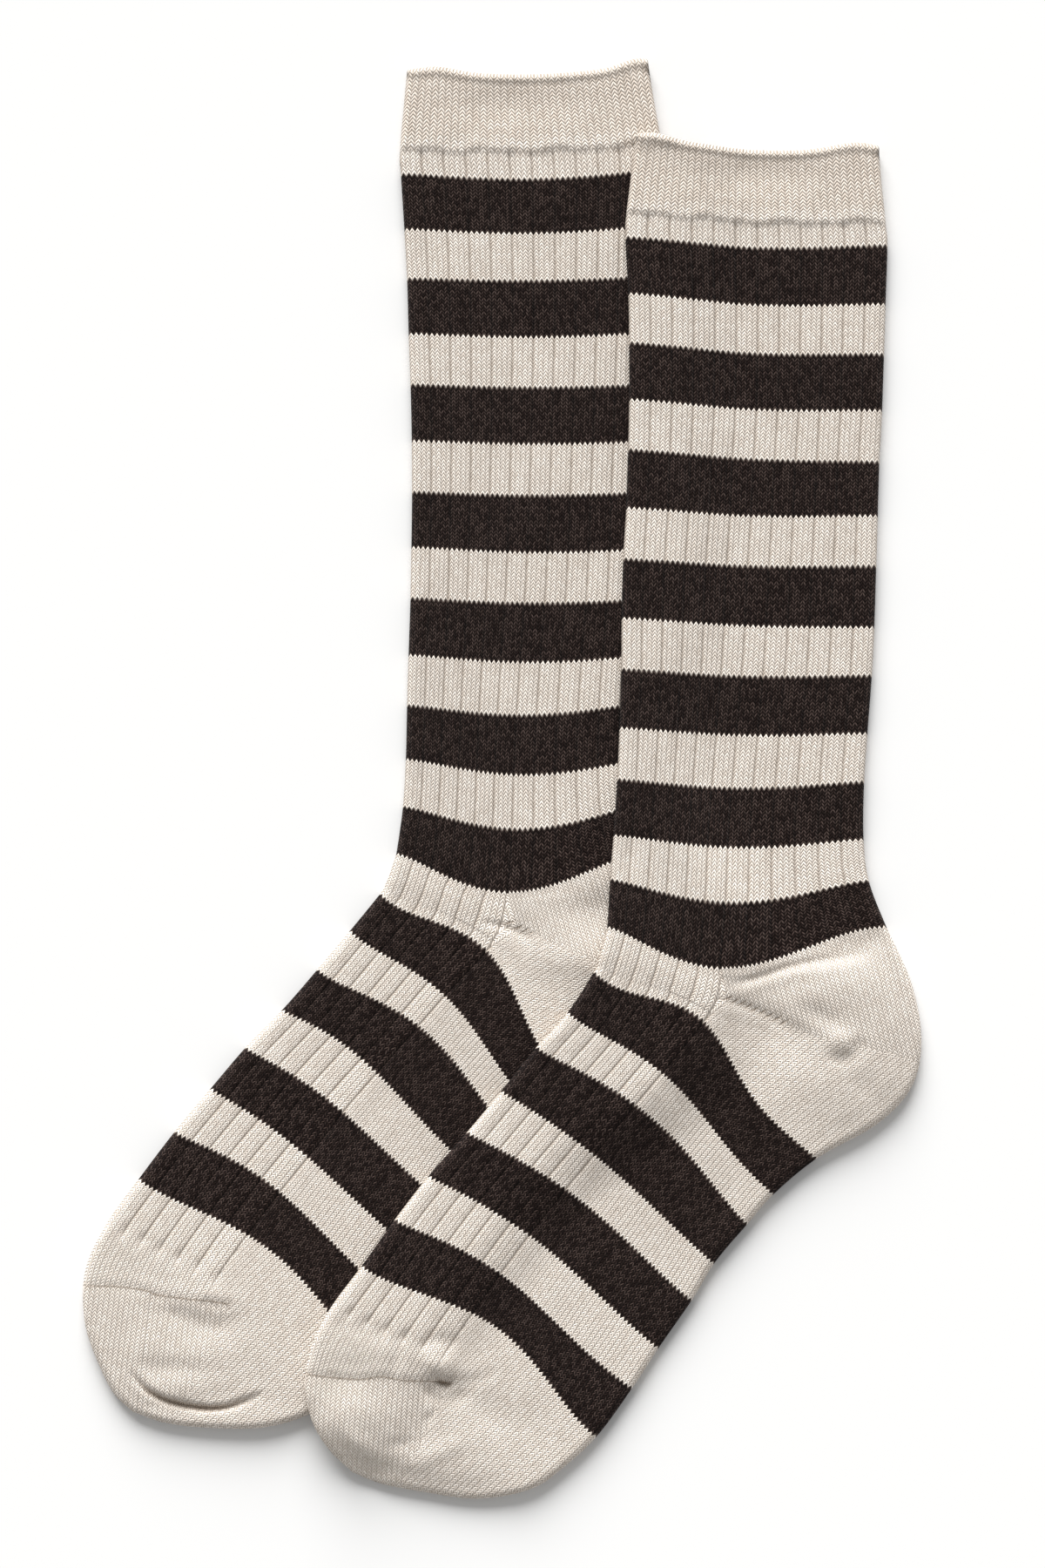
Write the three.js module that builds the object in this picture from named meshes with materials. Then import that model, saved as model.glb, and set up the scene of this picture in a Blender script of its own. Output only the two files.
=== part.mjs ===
// A pair of ribbed, striped crew socks, laid flat in profile with the second sock partly on the first.
// Units are millimetres, +Z is up and the socks lie on z = 0. The toes point to -X -Y, the cuffs to +Y.
// Every sock is one flattened tube of cloth. Courses run across it from its front edge to its back edge,
// and the same functions loft the cuff, leg, heel, foot and toe between chosen courses.

import * as THREE from "three";

// Driving dimensions of the cloth
const WALL_CUFF = 2.4;
const WALL_RIBBED = 1.8;
const WALL_PLAIN = 1.6;
const CUFF_RAISE = 0.8;
const SEAM_GAP = 0.3;
const LAYER_GAP = 0.4;
const EDGE_ROUND = 2.8;
const LEAST_EDGE_ROUND = 0.9;
const LEAST_HOLLOW = 0.4;

// The rolled rim stands out by this share of the cuff's wall
const RIM_ROLL = 0.4;

// Ribs: each half of a lying tube, front edge to middle and middle to back edge, is six ribs wide
const RIBS_A_HALF = 6;
const GROOVE_DEPTH = 0.7;
const GROOVE_HALF_WIDTH = 1.0;
const MIDDLE_BLEND = 0.25;

// How the second sock comes down beside the first, and how loose cloth stands on the lying tube
const DRAPE_RUN = 27;
const DRAPE_REACH = 3.5;
const DRAPE_BLEND = 2;
const DRAPE_FALLOFF = 6;
const PUFF_SPREAD = 0.21;
const PUFF_EDGE = 9;

// The middle of the pair's plan, which the origin lies below
const PLAN_CENTRE = new THREE.Vector2(0, -1.1);

// Colours of the yarn: the cream one, and the mean of cream and dark stripes
const CREAM = 0xd6ccbe;
const STRIPED = 0x8d8279;

// Courses of each sock from its rim to the tip of its toe. front and back are a course's ends on the
// sock's outline, and places along it run from 0 at the front to 1 at the back. middle is the place of the
// wale that parts instep and sole. bow is how far the course bends towards the toe, bow_at where, and sharp
// how sharply. height is the lying tube's height, puff the loose cloth that stands on it and puff_at where.
const COLUMNS = [
  "course", "front_x", "front_y", "back_x", "back_y",
  "middle", "bow", "bow_at", "sharp", "height", "puff", "puff_at",
];

const UPPER_COURSES = [
  ["rim", 42.5, 205.0, 121.0, 201.5, 0.500, 1.3, 0.50, 3, 5.6, 0.3, 0.50],
  ["welt_end", 39.6, 181.7, 123.3, 179.5, 0.505, 1.4, 0.50, 3, 5.6, 0.3, 0.50],
  ["dark_1_start", 39.3, 174.4, 123.9, 172.5, 0.505, 1.8, 0.50, 3, 5.6, 0.3, 0.50],
  ["dark_1_end", 40.2, 156.5, 123.3, 153.7, 0.505, 1.7, 0.50, 3, 5.6, 0.3, 0.50],
  ["dark_2_start", 40.5, 140.6, 122.8, 137.5, 0.505, 1.4, 0.50, 3, 5.6, 0.3, 0.50],
  ["dark_2_end", 40.5, 122.6, 122.2, 119.6, 0.505, 1.3, 0.50, 3, 5.6, 0.3, 0.50],
  ["dark_3_start", 40.2, 106.4, 121.3, 102.8, 0.500, 0.9, 0.50, 3, 5.6, 0.3, 0.50],
  ["dark_3_end", 39.6, 87.9, 120.8, 85.7, 0.495, 1.2, 0.50, 3, 5.6, 0.3, 0.50],
  ["dark_4_start", 38.6, 71.4, 120.3, 69.4, 0.490, 1.0, 0.50, 3, 5.6, 0.3, 0.50],
  ["dark_4_end", 38.1, 52.6, 119.7, 49.8, 0.485, 0.9, 0.50, 3, 5.6, 0.3, 0.50],
  ["dark_5_start", 38.0, 36.1, 118.9, 34.2, 0.475, 1.2, 0.50, 3, 5.6, 0.3, 0.50],
  ["dark_5_end", 37.4, 17.4, 117.5, 15.7, 0.465, 1.4, 0.50, 3, 5.6, 0.3, 0.50],
  ["dark_6_start", 36.7, 0.8, 116.4, 0.0, 0.455, 2.4, 0.50, 3, 5.6, 0.4, 0.50],
  ["dark_6_end", 35.5, -17.1, 116.2, -18.5, 0.445, 3.1, 0.50, 3, 5.6, 0.6, 0.55],
  ["dark_7_start", 34.4, -31.4, 117.8, -31.9, 0.430, 7.0, 0.48, 3, 5.6, 1.0, 0.60],
  ["dark_7_end", 33.5, -46.5, 123.3, -46.5, 0.375, 12.9, 0.42, 3.5, 5.6, 1.8, 0.65],
  ["heel_1", 32.9, -49.3, 131.7, -65.5, 0.355, 7.8, 0.38, 5, 5.8, 3.2, 0.75],
  ["heel_2", 32.1, -52.1, 134.8, -83.7, 0.336, 3.3, 0.36, 5, 6.0, 3.8, 0.75],
  ["heel_3", 31.2, -54.9, 131.7, -98.6, 0.332, -0.4, 0.36, 5, 6.0, 3.6, 0.75],
  ["heel_4", 30.4, -57.7, 120.6, -110.6, 0.342, -4.4, 0.36, 6, 5.8, 2.6, 0.75],
  ["dark_8_start", 29.3, -61.0, 101.5, -121.5, 0.367, -10.7, 0.38, 8, 5.6, 1.4, 0.70],
  ["dark_8_end", 21.1, -73.9, 87.5, -133.0, 0.372, -5.6, 0.42, 5, 5.6, 0.8, 0.65],
  ["dark_9_start", 11.1, -85.1, 79.1, -142.5, 0.380, -6.6, 0.47, 3, 5.6, 0.6, 0.60],
  ["dark_9_end", -0.1, -99.1, 68.4, -155.1, 0.383, -2.8, 0.40, 3, 5.6, 0.5, 0.55],
  ["dark_10_start", -11.1, -112.3, 61.2, -166.9, 0.375, -4.3, 0.42, 3, 5.6, 0.5, 0.55],
  ["dark_10_end", -23.4, -126.3, 50.5, -182.3, 0.375, -4.1, 0.40, 3, 5.6, 0.5, 0.55],
  ["dark_11_start", -34.3, -140.3, 42.0, -195.2, 0.375, -5.5, 0.37, 4, 5.6, 0.7, 0.55],
  ["dark_11_end", -44.9, -155.1, 30.6, -210.8, 0.375, -9.4, 0.50, 4, 5.8, 1.2, 0.55],
  ["toe_1", -55.2, -169.0, 19.3, -221.4, 0.400, -6.6, 0.50, 3, 6.0, 1.6, 0.55],
  ["toe_2", -61.3, -181.0, 8.9, -228.2, 0.430, -3.4, 0.50, 3, 6.0, 1.6, 0.55],
  ["toe_3", -63.7, -194.3, -8.3, -231.3, 0.460, -1.0, 0.50, 3, 6.0, 1.4, 0.55],
  ["toe_4", -60.9, -206.1, -27.3, -228.8, 0.480, 0.0, 0.50, 3, 5.8, 0.8, 0.50],
  ["toe_5", -55.2, -215.6, -39.6, -226.3, 0.500, 0.0, 0.50, 3, 5.6, 0.2, 0.50],
  ["toe_tip", -48.3, -222.6, -48.3, -222.6, 0.500, 0.0, 0.50, 3, 5.6, 0.0, 0.50],
];

const LOWER_COURSES = [
  ["rim", -31.0, 226.6, 46.8, 228.6, 0.500, 1.3, 0.50, 3, 5.6, 0.3, 0.50],
  ["welt_end", -33.2, 202.7, 51.2, 204.6, 0.500, 1.4, 0.50, 3, 5.6, 0.3, 0.50],
  ["dark_1_start", -32.9, 195.4, 51.9, 196.8, 0.500, 2.4, 0.50, 3, 5.6, 0.3, 0.50],
  ["dark_1_end", -31.8, 177.8, 51.4, 178.9, 0.500, 1.9, 0.50, 3, 5.6, 0.3, 0.50],
  ["dark_2_start", -30.9, 161.8, 50.8, 162.4, 0.500, 1.0, 0.50, 3, 5.6, 0.3, 0.50],
  ["dark_2_end", -30.4, 144.2, 50.2, 144.5, 0.500, 1.2, 0.50, 3, 5.6, 0.3, 0.50],
  ["dark_3_start", -29.8, 127.7, 49.5, 127.7, 0.495, 0.9, 0.50, 3, 5.6, 0.3, 0.50],
  ["dark_3_end", -29.4, 109.8, 48.9, 109.5, 0.490, 0.9, 0.50, 3, 5.6, 0.3, 0.50],
  ["dark_4_start", -29.3, 93.2, 48.3, 93.0, 0.485, 1.0, 0.50, 3, 5.6, 0.3, 0.50],
  ["dark_4_end", -29.5, 75.6, 47.7, 74.8, 0.480, 1.3, 0.50, 3, 5.6, 0.3, 0.50],
  ["dark_5_start", -29.8, 59.1, 46.9, 58.5, 0.475, 1.3, 0.50, 3, 5.6, 0.3, 0.50],
  ["dark_5_end", -30.4, 40.9, 45.5, 40.3, 0.468, 2.0, 0.50, 3, 5.6, 0.3, 0.50],
  ["dark_6_start", -30.9, 24.6, 44.5, 25.0, 0.460, 3.3, 0.50, 3, 5.6, 0.4, 0.50],
  ["dark_6_end", -31.3, 7.3, 44.3, 6.7, 0.450, 4.6, 0.50, 3, 5.6, 0.5, 0.50],
  ["dark_7_start", -32.2, -8.1, 46.0, -7.3, 0.435, 7.4, 0.49, 3, 5.6, 0.8, 0.50],
  ["dark_7_end", -34.3, -23.2, 51.4, -21.3, 0.390, 12.9, 0.43, 3.5, 5.6, 1.2, 0.50],
  ["heel_1", -35.1, -26.0, 59.0, -40.3, 0.366, 7.2, 0.38, 5, 5.8, 1.6, 0.55],
  ["heel_2", -36.0, -28.8, 62.0, -58.5, 0.345, 3.1, 0.36, 5, 6.0, 1.8, 0.55],
  ["heel_3", -36.9, -31.3, 59.0, -73.4, 0.340, -0.2, 0.36, 5, 6.0, 1.8, 0.55],
  ["heel_4", -37.9, -33.6, 48.0, -88.0, 0.350, -4.4, 0.37, 5, 5.8, 1.4, 0.55],
  ["dark_8_start", -39.3, -36.1, 26.5, -102.5, 0.370, -11.6, 0.40, 6, 5.6, 1.0, 0.55],
  ["dark_8_end", -48.9, -47.9, 14.7, -110.3, 0.385, -6.4, 0.42, 5, 5.6, 0.7, 0.50],
  ["dark_9_start", -59.5, -60.5, 7.2, -117.3, 0.395, -7.6, 0.45, 4, 5.6, 0.5, 0.50],
  ["dark_9_end", -70.7, -73.4, -3.8, -129.9, 0.393, -4.6, 0.32, 4, 5.6, 0.4, 0.50],
  ["dark_10_start", -82.6, -85.6, -11.2, -141.7, 0.390, -3.4, 0.34, 4, 5.6, 0.4, 0.50],
  ["dark_10_end", -93.7, -98.6, -21.4, -157.1, 0.388, -2.6, 0.34, 4, 5.6, 0.4, 0.50],
  ["dark_11_start", -105.4, -112.6, -30.2, -170.0, 0.385, -5.4, 0.36, 4, 5.6, 0.6, 0.50],
  ["dark_11_end", -116.9, -127.7, -41.4, -185.9, 0.380, -7.8, 0.50, 4, 5.8, 1.0, 0.50],
  ["toe_1", -128.2, -143.5, -51.9, -196.3, 0.400, -5.6, 0.50, 3, 6.0, 1.4, 0.50],
  ["toe_2", -134.6, -158.0, -62.2, -204.0, 0.430, -3.0, 0.50, 3, 6.0, 1.4, 0.50],
  ["toe_3", -134.8, -174.0, -77.6, -208.4, 0.460, -1.0, 0.50, 3, 6.0, 1.2, 0.50],
  ["toe_4", -130.6, -187.2, -95.9, -208.4, 0.480, 0.0, 0.50, 3, 5.8, 0.7, 0.50],
  ["toe_5", -125.2, -197.6, -109.0, -206.8, 0.500, 0.0, 0.50, 3, 5.6, 0.2, 0.50],
  ["toe_tip", -119.0, -203.4, -119.0, -203.4, 0.500, 0.0, 0.50, 3, 5.6, 0.0, 0.50],
];

// Largest creases of the top layer: a soft trough round x, y that runs at an angle in degrees from +X
const FOLD_COLUMNS = ["fold", "x", "y", "angle", "half_length", "half_width", "depth"];

const UPPER_FOLDS = [
  ["cuff_hollow", 80.5, 194.5, 0, 24, 6.0, 0.9],
  ["ankle_front", 40.5, -23.0, 75, 9, 4.0, 0.8],
  ["heel_crease", 97.0, -58.5, 13, 26, 4.0, 2.0],
  ["heel_gore", 79.0, -72.5, -19, 10, 3.5, 1.0],
  ["heel_dimple", 108.5, -86.0, -35, 9, 6.0, 1.8],
  ["heel_lower", 118.0, -99.5, -60, 9, 4.5, 1.0],
  ["toe_pucker", -20.3, -194.3, -50, 6, 4.5, 1.5],
  ["toe_hollow", -4.9, -202.7, -30, 13, 6.0, 1.2],
];

const LOWER_FOLDS = [
  ["cuff_hollow", 4.0, 217.0, 2, 22, 6.0, 0.8],
  ["heel_valley", 25.5, -43.0, 8, 16, 5.0, 1.4],
  ["heel_gore", 3.0, -47.5, -22, 9, 3.5, 0.9],
  ["toe_hollow", -97.5, -176.0, 3, 15, 5.5, 1.5],
  ["toe_turn", -95.0, -200.0, 2, 20, 3.0, 1.1],
];

// Pieces along the tube, between two courses, with the rows in each stretch from one course to the next.
// Grooves run from the front edge to the rib ribs_to: 5 is the whole face, 0 the instep, -6 none.
const PIECE_COLUMNS = ["piece", "from", "to", "rows", "wall", "raise", "ribs_to", "colour"];

const PIECES = [
  ["cuff", "rim", "welt_end", 4, WALL_CUFF, CUFF_RAISE, -6, CREAM],
  ["leg", "welt_end", "dark_7_end", 1, WALL_RIBBED, 0, 5, STRIPED],
  ["heel", "dark_7_end", "dark_8_start", 2, WALL_RIBBED, 0, 0, CREAM],
  ["foot", "dark_8_start", "dark_11_end", 1, WALL_RIBBED, 0, 0, STRIPED],
  ["toe", "dark_11_end", "toe_tip", 2, WALL_PLAIN, 0, -6, CREAM],
];

// Points along a course: the steps across plain cloth and across the underside and the inside, the angles
// round an edge, and as shares of a course the least step and the most that a rounded edge takes up
const PLAIN_STEPS = 20;
const HIDDEN_STEPS = 10;
const EDGE_ANGLES = [30, 60, 90];
const LEAST_STEP = 0.012;
const WIDEST_EDGE = 0.25;

// Steps along the sock, in rows of its table, between outline points and between cover points
const OUTLINE_STEP = 0.25;
const COVER_STEP = 0.25;

// Half the stretch of a course, as a share of it, that tells which way it runs at a place
const TANGENT_REACH = 0.01;

// Rows at the tip of the toe that are solid right through
const SOLID_TIP_ROWS = 2;

const clamp = (value, low, high) => Math.min(high, Math.max(low, value));
const smooth = (value) => value * value * (3 - 2 * value);
const evenPlaces = (steps) => Array.from({ length: steps - 1 }, (_, i) => (i + 1) / steps);
const plainEntries = (places) => places.map((place) => ({ place, groove: 0 }));

function asRecords(columns, rows) {
  return rows.map((row) => Object.fromEntries(columns.map((column, i) => [column, row[i]])));
}

// A curve through four values, at a part from 0 to 1 of the way between the middle two
function blendFour(before, start, end, after, part) {
  const slopeStart = (end - before) / 2;
  const slopeEnd = (after - start) / 2;
  const rise = end - start;
  const square = 3 * rise - 2 * slopeStart - slopeEnd;
  const cube = slopeStart + slopeEnd - 2 * rise;
  return start + part * (slopeStart + part * (square + part * cube));
}

// The course at a number along the sock, where whole numbers are the rows of its table
function courseAt(courses, number) {
  const last = courses.length - 1;
  const row = clamp(Math.floor(number), 0, last - 1);
  const course = {};
  for (const column of COLUMNS.slice(1)) {
    const values = [row - 1, row, row + 1, row + 2].map((index) => courses[clamp(index, 0, last)][column]);
    course[column] = blendFour(...values, number - row);
  }
  return course;
}

function courseNumber(courses, name) {
  return courses.findIndex((course) => course.course === name);
}

function widthOf(course) {
  return Math.hypot(course.back_x - course.front_x, course.back_y - course.front_y);
}

// Share of the bow at a place along a course: 0 at both ends and 1 at the place of its peak
function bowShare(place, peak, sharp) {
  if (place <= 0 || place >= 1) return 0;
  const fromFront = (place / peak) ** (sharp * peak);
  const fromBack = ((1 - place) / (1 - peak)) ** (sharp * (1 - peak));
  return fromFront * fromBack;
}

// The plan point of a course at a place along it
function planPoint(course, place) {
  const front = new THREE.Vector2(course.front_x, course.front_y);
  const chord = new THREE.Vector2(course.back_x, course.back_y).sub(front);
  const towardsToe = new THREE.Vector2(chord.y, -chord.x).normalize();
  const bend = course.bow * bowShare(place, course.bow_at, course.sharp);
  return front.addScaledVector(chord, place).addScaledVector(towardsToe, bend);
}

// The place of a wale along a course. Wales are counted from -1 at the front edge to 1 at the back edge,
// with 0 at the middle, so the cloth of each half is spread evenly over its own share of the course.
function waleRamp(wale) {
  return (Math.sqrt(wale * wale + MIDDLE_BLEND * MIDDLE_BLEND) + wale) / 2;
}

function placeOfWale(course, wale) {
  const ramp = waleRamp(wale) - waleRamp(-1);
  return course.middle * (1 + wale) + (1 - 2 * course.middle) * ramp;
}

// The sock's outline from its front rim round the toe to its back rim
function outlineOf(courses) {
  const front = [];
  const back = [];
  for (let number = 0; number <= courses.length - 1; number += OUTLINE_STEP) {
    const course = courseAt(courses, number);
    front.push(new THREE.Vector2(course.front_x, course.front_y));
    back.push(new THREE.Vector2(course.back_x, course.back_y));
  }
  return front.concat(back.slice(0, -1).reverse());
}

function distanceToLine(point, start, end) {
  const along = end.clone().sub(start);
  const reach = point.clone().sub(start);
  const part = clamp(reach.dot(along) / along.lengthSq(), 0, 1);
  return reach.addScaledVector(along, -part).length();
}

function distanceToOutline(point, outline) {
  let nearest = Infinity;
  for (let i = 1; i < outline.length; i += 1) {
    nearest = Math.min(nearest, distanceToLine(point, outline[i - 1], outline[i]));
  }
  return nearest;
}

// Share of the full height at a distance from a round edge: 0 on the edge, 1 from the radius inwards
function roundShare(distance, radius) {
  const short = 1 - clamp(distance / radius, 0, 1);
  return Math.sqrt(1 - short * short);
}

function puffHeight(course, place, distance) {
  const off = (place - course.puff_at) / PUFF_SPREAD;
  return course.puff * Math.exp(-off * off) * smooth(clamp(distance / PUFF_EDGE, 0, 1));
}

function foldDepth(folds, point) {
  let depth = 0;
  for (const fold of folds) {
    const away = point.clone().sub(new THREE.Vector2(fold.x, fold.y));
    away.rotateAround(new THREE.Vector2(0, 0), -THREE.MathUtils.degToRad(fold.angle));
    depth += fold.depth * Math.exp(-((away.x / fold.half_length) ** 2) - (away.y / fold.half_width) ** 2);
  }
  return depth;
}

// The top of a sock at points spread over its back half, which is the half that the other sock covers
function coverSamples(sock) {
  const samples = [];
  const backHalf = evenPlaces(PLAIN_STEPS).filter((place) => place >= 0.5).concat(1);
  for (let number = 0; number <= sock.courses.length - 1; number += COVER_STEP) {
    const course = courseAt(sock.courses, number);
    const raise = number <= 1 ? CUFF_RAISE : 0;
    for (const place of backHalf) {
      const top = course.height + raise + puffHeight(course, place, PUFF_EDGE);
      samples.push({ point: planPoint(course, place), top });
    }
  }
  return samples;
}

// Height at which the cloth of a sock lies: on the sock below it, sloping down to the ground beside that
function restingHeight(point, cover) {
  if (cover.length === 0) return 0;
  let nearest = Infinity;
  let weights = 0;
  let tops = 0;
  for (const sample of cover) {
    const distance = point.distanceTo(sample.point);
    const weight = Math.hypot(distance, DRAPE_BLEND) ** -DRAPE_FALLOFF;
    nearest = Math.min(nearest, distance);
    weights += weight;
    tops += weight * sample.top;
  }
  const away = clamp((nearest - DRAPE_REACH) / DRAPE_RUN, 0, 1);
  return (tops / weights + LAYER_GAP) * (1 - smooth(away));
}

// Places of the rounded front edge, from the outline inwards. The back edge's are the same from 1.
function edgePlaces(width, radius) {
  return EDGE_ANGLES.map((angle) => {
    const inwards = radius * (1 - Math.cos(THREE.MathUtils.degToRad(angle)));
    return Math.min(inwards / width, WIDEST_EDGE);
  });
}

function withEdges(width, radius, entries) {
  const edge = edgePlaces(width, radius);
  const last = edge[edge.length - 1] + LEAST_STEP;
  const kept = entries.map((entry) => ({ ...entry, place: clamp(entry.place, last, 1 - last) }));
  const front = plainEntries(edge);
  const back = plainEntries(edge.map((place) => 1 - place)).reverse();
  return front.concat(kept, back);
}

// Places across the top. On ribbed pieces each rib's two shoulders are points all the way across, also
// where the cloth is plain, so that neighbours meet alike at a seam, and a groove is a point between them.
function topEntries(course, ribsTo) {
  if (ribsTo <= -RIBS_A_HALF) return plainEntries(evenPlaces(PLAIN_STEPS));
  const entries = [];
  const shoulder = GROOVE_HALF_WIDTH / widthOf(course);
  for (let rib = 1 - RIBS_A_HALF; rib < RIBS_A_HALF; rib += 1) {
    const middle = placeOfWale(course, rib / RIBS_A_HALF);
    entries.push({ place: middle - shoulder, groove: 0 });
    if (rib <= ribsTo) entries.push({ place: middle, groove: 1 });
    entries.push({ place: middle + shoulder, groove: 0 });
  }
  return entries;
}

// Facts of one layer of a piece, outer or inner, at a course
function layerOf(course, piece, inside) {
  const width = widthOf(course);
  const inset = inside ? piece.wall : 0;
  const halfHeight = (course.height + piece.raise) / 2;
  const radius = Math.max(EDGE_ROUND - inset, LEAST_EDGE_ROUND);
  return { width: width - 2 * inset, inset, inside, halfHeight, radius, reach: inset / width };
}

// A point of a ring: side is 1 on top, -1 below and 0 on the round edge's outermost line
function ringPoint(sock, piece, course, layer, plan, place, side, groove) {
  const placed = layer.reach + place * (1 - 2 * layer.reach);
  const flat = plan(placed);
  const distance = Math.max(distanceToOutline(flat, sock.outline) - layer.inset, 0);
  const middle = restingHeight(flat, sock.cover) + layer.halfHeight;
  if (side === 0) return new THREE.Vector3(flat.x, flat.y, middle);
  const share = roundShare(distance, layer.radius);
  const least = LEAST_HOLLOW / 2;
  const level = middle + side * Math.max((layer.halfHeight - layer.inset) * share, least);
  if (side < 0) return new THREE.Vector3(flat.x, flat.y, level);
  const lowest = middle + least + (layer.inside ? 0 : piece.wall * share);
  const puff = puffHeight(course, placed, distance + layer.inset);
  const lift = puff - share * (foldDepth(sock.folds, flat) + groove * GROOVE_DEPTH);
  return new THREE.Vector3(flat.x, flat.y, Math.max(level + lift, Math.min(level, lowest)));
}

// One ring of points round a course: along its top from front to back, and back along its underside.
// Each has a turn from 0 to 2, by which rings with unlike numbers of points are joined.
function ringOf(sock, piece, course, inside, plan) {
  const layer = layerOf(course, piece, inside);
  const unders = plainEntries(evenPlaces(HIDDEN_STEPS));
  const tops = inside ? unders : topEntries(course, piece.ribs_to);
  const point = (place, side, groove) => ringPoint(sock, piece, course, layer, plan, place, side, groove);
  const ring = [{ turn: 0, at: point(0, 0, 0) }];
  for (const entry of withEdges(layer.width, layer.radius, tops)) {
    ring.push({ turn: entry.place, at: point(entry.place, 1, entry.groove) });
  }
  ring.push({ turn: 1, at: point(1, 0, 0) });
  for (const entry of withEdges(layer.width, layer.radius, unders).reverse()) {
    ring.push({ turn: 2 - entry.place, at: point(entry.place, -1, 0) });
  }
  return ring;
}

// A closed body collected from rings of points
class Body {
  constructor() {
    this.points = [];
    this.faces = [];
  }

  addPoint(point) {
    this.points.push(point.x, point.y, point.z);
    return this.points.length / 3 - 1;
  }

  addRing(ring) {
    return ring.map((entry) => ({ turn: entry.turn, index: this.addPoint(entry.at) }));
  }

  // Joins two rings: point to point where they have as many points, or else by always stepping on along
  // the one whose next point comes sooner
  joinRings(first, second, flip) {
    const alike = first.length === second.length;
    const turnAt = (ring, k) => (k < ring.length ? ring[k].turn : 2);
    const turnOf = (ring, k) => (alike ? k : turnAt(ring, k));
    let i = 0;
    let j = 0;
    while (i < first.length || j < second.length) {
      const a = first[i % first.length].index;
      const b = second[j % second.length].index;
      const firstIsNext = turnOf(first, i + 1) <= turnOf(second, j + 1);
      const stepFirst = i < first.length && (j >= second.length || firstIsNext);
      const next = stepFirst ? first[(i + 1) % first.length].index : second[(j + 1) % second.length].index;
      this.faces.push(...(flip ? [a, next, b] : [a, b, next]));
      if (stepFirst) i += 1;
      else j += 1;
    }
  }

  closeRing(ring, tip, flip) {
    const end = this.addPoint(tip);
    ring.forEach((entry, i) => {
      const next = ring[(i + 1) % ring.length].index;
      this.faces.push(...(flip ? [entry.index, next, end] : [entry.index, end, next]));
    });
  }

  geometry() {
    const geometry = new THREE.BufferGeometry();
    geometry.setAttribute("position", new THREE.Float32BufferAttribute(this.points, 3));
    geometry.setIndex(this.faces);
    geometry.computeVertexNormals();
    return geometry;
  }
}

// The plan of a row: its course, moved square to itself by a distance that is positive towards the toe
function rowPlan(course, distance) {
  return (place) => {
    const ahead = planPoint(course, place + TANGENT_REACH);
    const along = ahead.sub(planPoint(course, place - TANGENT_REACH));
    const towardsToe = new THREE.Vector2(along.y, -along.x).normalize();
    return planPoint(course, place).addScaledVector(towardsToe, distance);
  };
}

// The rolled rim of the turned cuff: a ring midway in the wall that stands out past the first course
function rimRing(sock, piece) {
  const rim = courseAt(sock.courses, 0);
  const plan = rowPlan(rim, -piece.wall * RIM_ROLL);
  return ringOf(sock, { ...piece, wall: piece.wall / 2 }, rim, true, plan);
}

// Closes both layers at the tip of the toe, the inner one a little short of the outer one
function closeToe(sock, body, outer, inner, lastNumber) {
  const tip = courseAt(sock.courses, sock.courses.length - 1);
  const end = planPoint(tip, 0.5);
  const height = restingHeight(end, sock.cover) + tip.height / 2;
  const within = planPoint(courseAt(sock.courses, lastNumber), 0.5);
  body.closeRing(outer, new THREE.Vector3(end.x, end.y, height), false);
  body.closeRing(inner, new THREE.Vector3(within.x, within.y, height), true);
}

function tubeOf(sock, piece) {
  const body = new Body();
  const from = courseNumber(sock.courses, piece.from);
  const to = courseNumber(sock.courses, piece.to);
  const isCuff = piece.piece === "cuff";
  const isToe = piece.piece === "toe";
  const rowCount = (to - from) * piece.rows + (isToe ? 0 : 1);
  const outer = [];
  const inner = [];
  for (let i = 0; i < rowCount; i += 1) {
    const number = from + i / piece.rows;
    const course = courseAt(sock.courses, number);
    const meetsBefore = i === 0 && !isCuff;
    const meetsAfter = i === rowCount - 1 && !isToe;
    const plan = rowPlan(course, (Number(meetsBefore) - Number(meetsAfter)) * (SEAM_GAP / 2));
    outer.push(body.addRing(ringOf(sock, piece, course, false, plan)));
    const pastHollow = isToe && i >= rowCount - SOLID_TIP_ROWS;
    if (!pastHollow) inner.push(body.addRing(ringOf(sock, piece, course, true, plan)));
  }
  for (let i = 1; i < outer.length; i += 1) body.joinRings(outer[i - 1], outer[i], false);
  for (let i = 1; i < inner.length; i += 1) body.joinRings(inner[i - 1], inner[i], true);
  if (isCuff) {
    const rim = body.addRing(rimRing(sock, piece));
    body.joinRings(rim, outer[0], false);
    body.joinRings(inner[0], rim, false);
  } else {
    body.joinRings(inner[0], outer[0], false);
  }
  if (isToe) {
    closeToe(sock, body, outer[outer.length - 1], inner[inner.length - 1], to - 1 / piece.rows);
  } else {
    body.joinRings(outer[outer.length - 1], inner[inner.length - 1], false);
  }
  return body.geometry();
}

function makeSock(name, courseRows, foldRows, below) {
  const sock = { courses: asRecords(COLUMNS, courseRows), folds: asRecords(FOLD_COLUMNS, foldRows) };
  sock.outline = outlineOf(sock.courses);
  sock.cover = below ? coverSamples(below) : [];
  sock.group = new THREE.Group();
  sock.group.name = name;
  for (const piece of asRecords(PIECE_COLUMNS, PIECES)) {
    const material = new THREE.MeshStandardMaterial({ color: piece.colour, roughness: 0.95, metalness: 0 });
    const mesh = new THREE.Mesh(tubeOf(sock, piece), material);
    mesh.name = `${name}_${piece.piece}`;
    sock.group.add(mesh);
  }
  return sock;
}

const lower = makeSock("lower_sock", LOWER_COURSES, LOWER_FOLDS, null);
const upper = makeSock("upper_sock", UPPER_COURSES, UPPER_FOLDS, lower);

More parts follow.
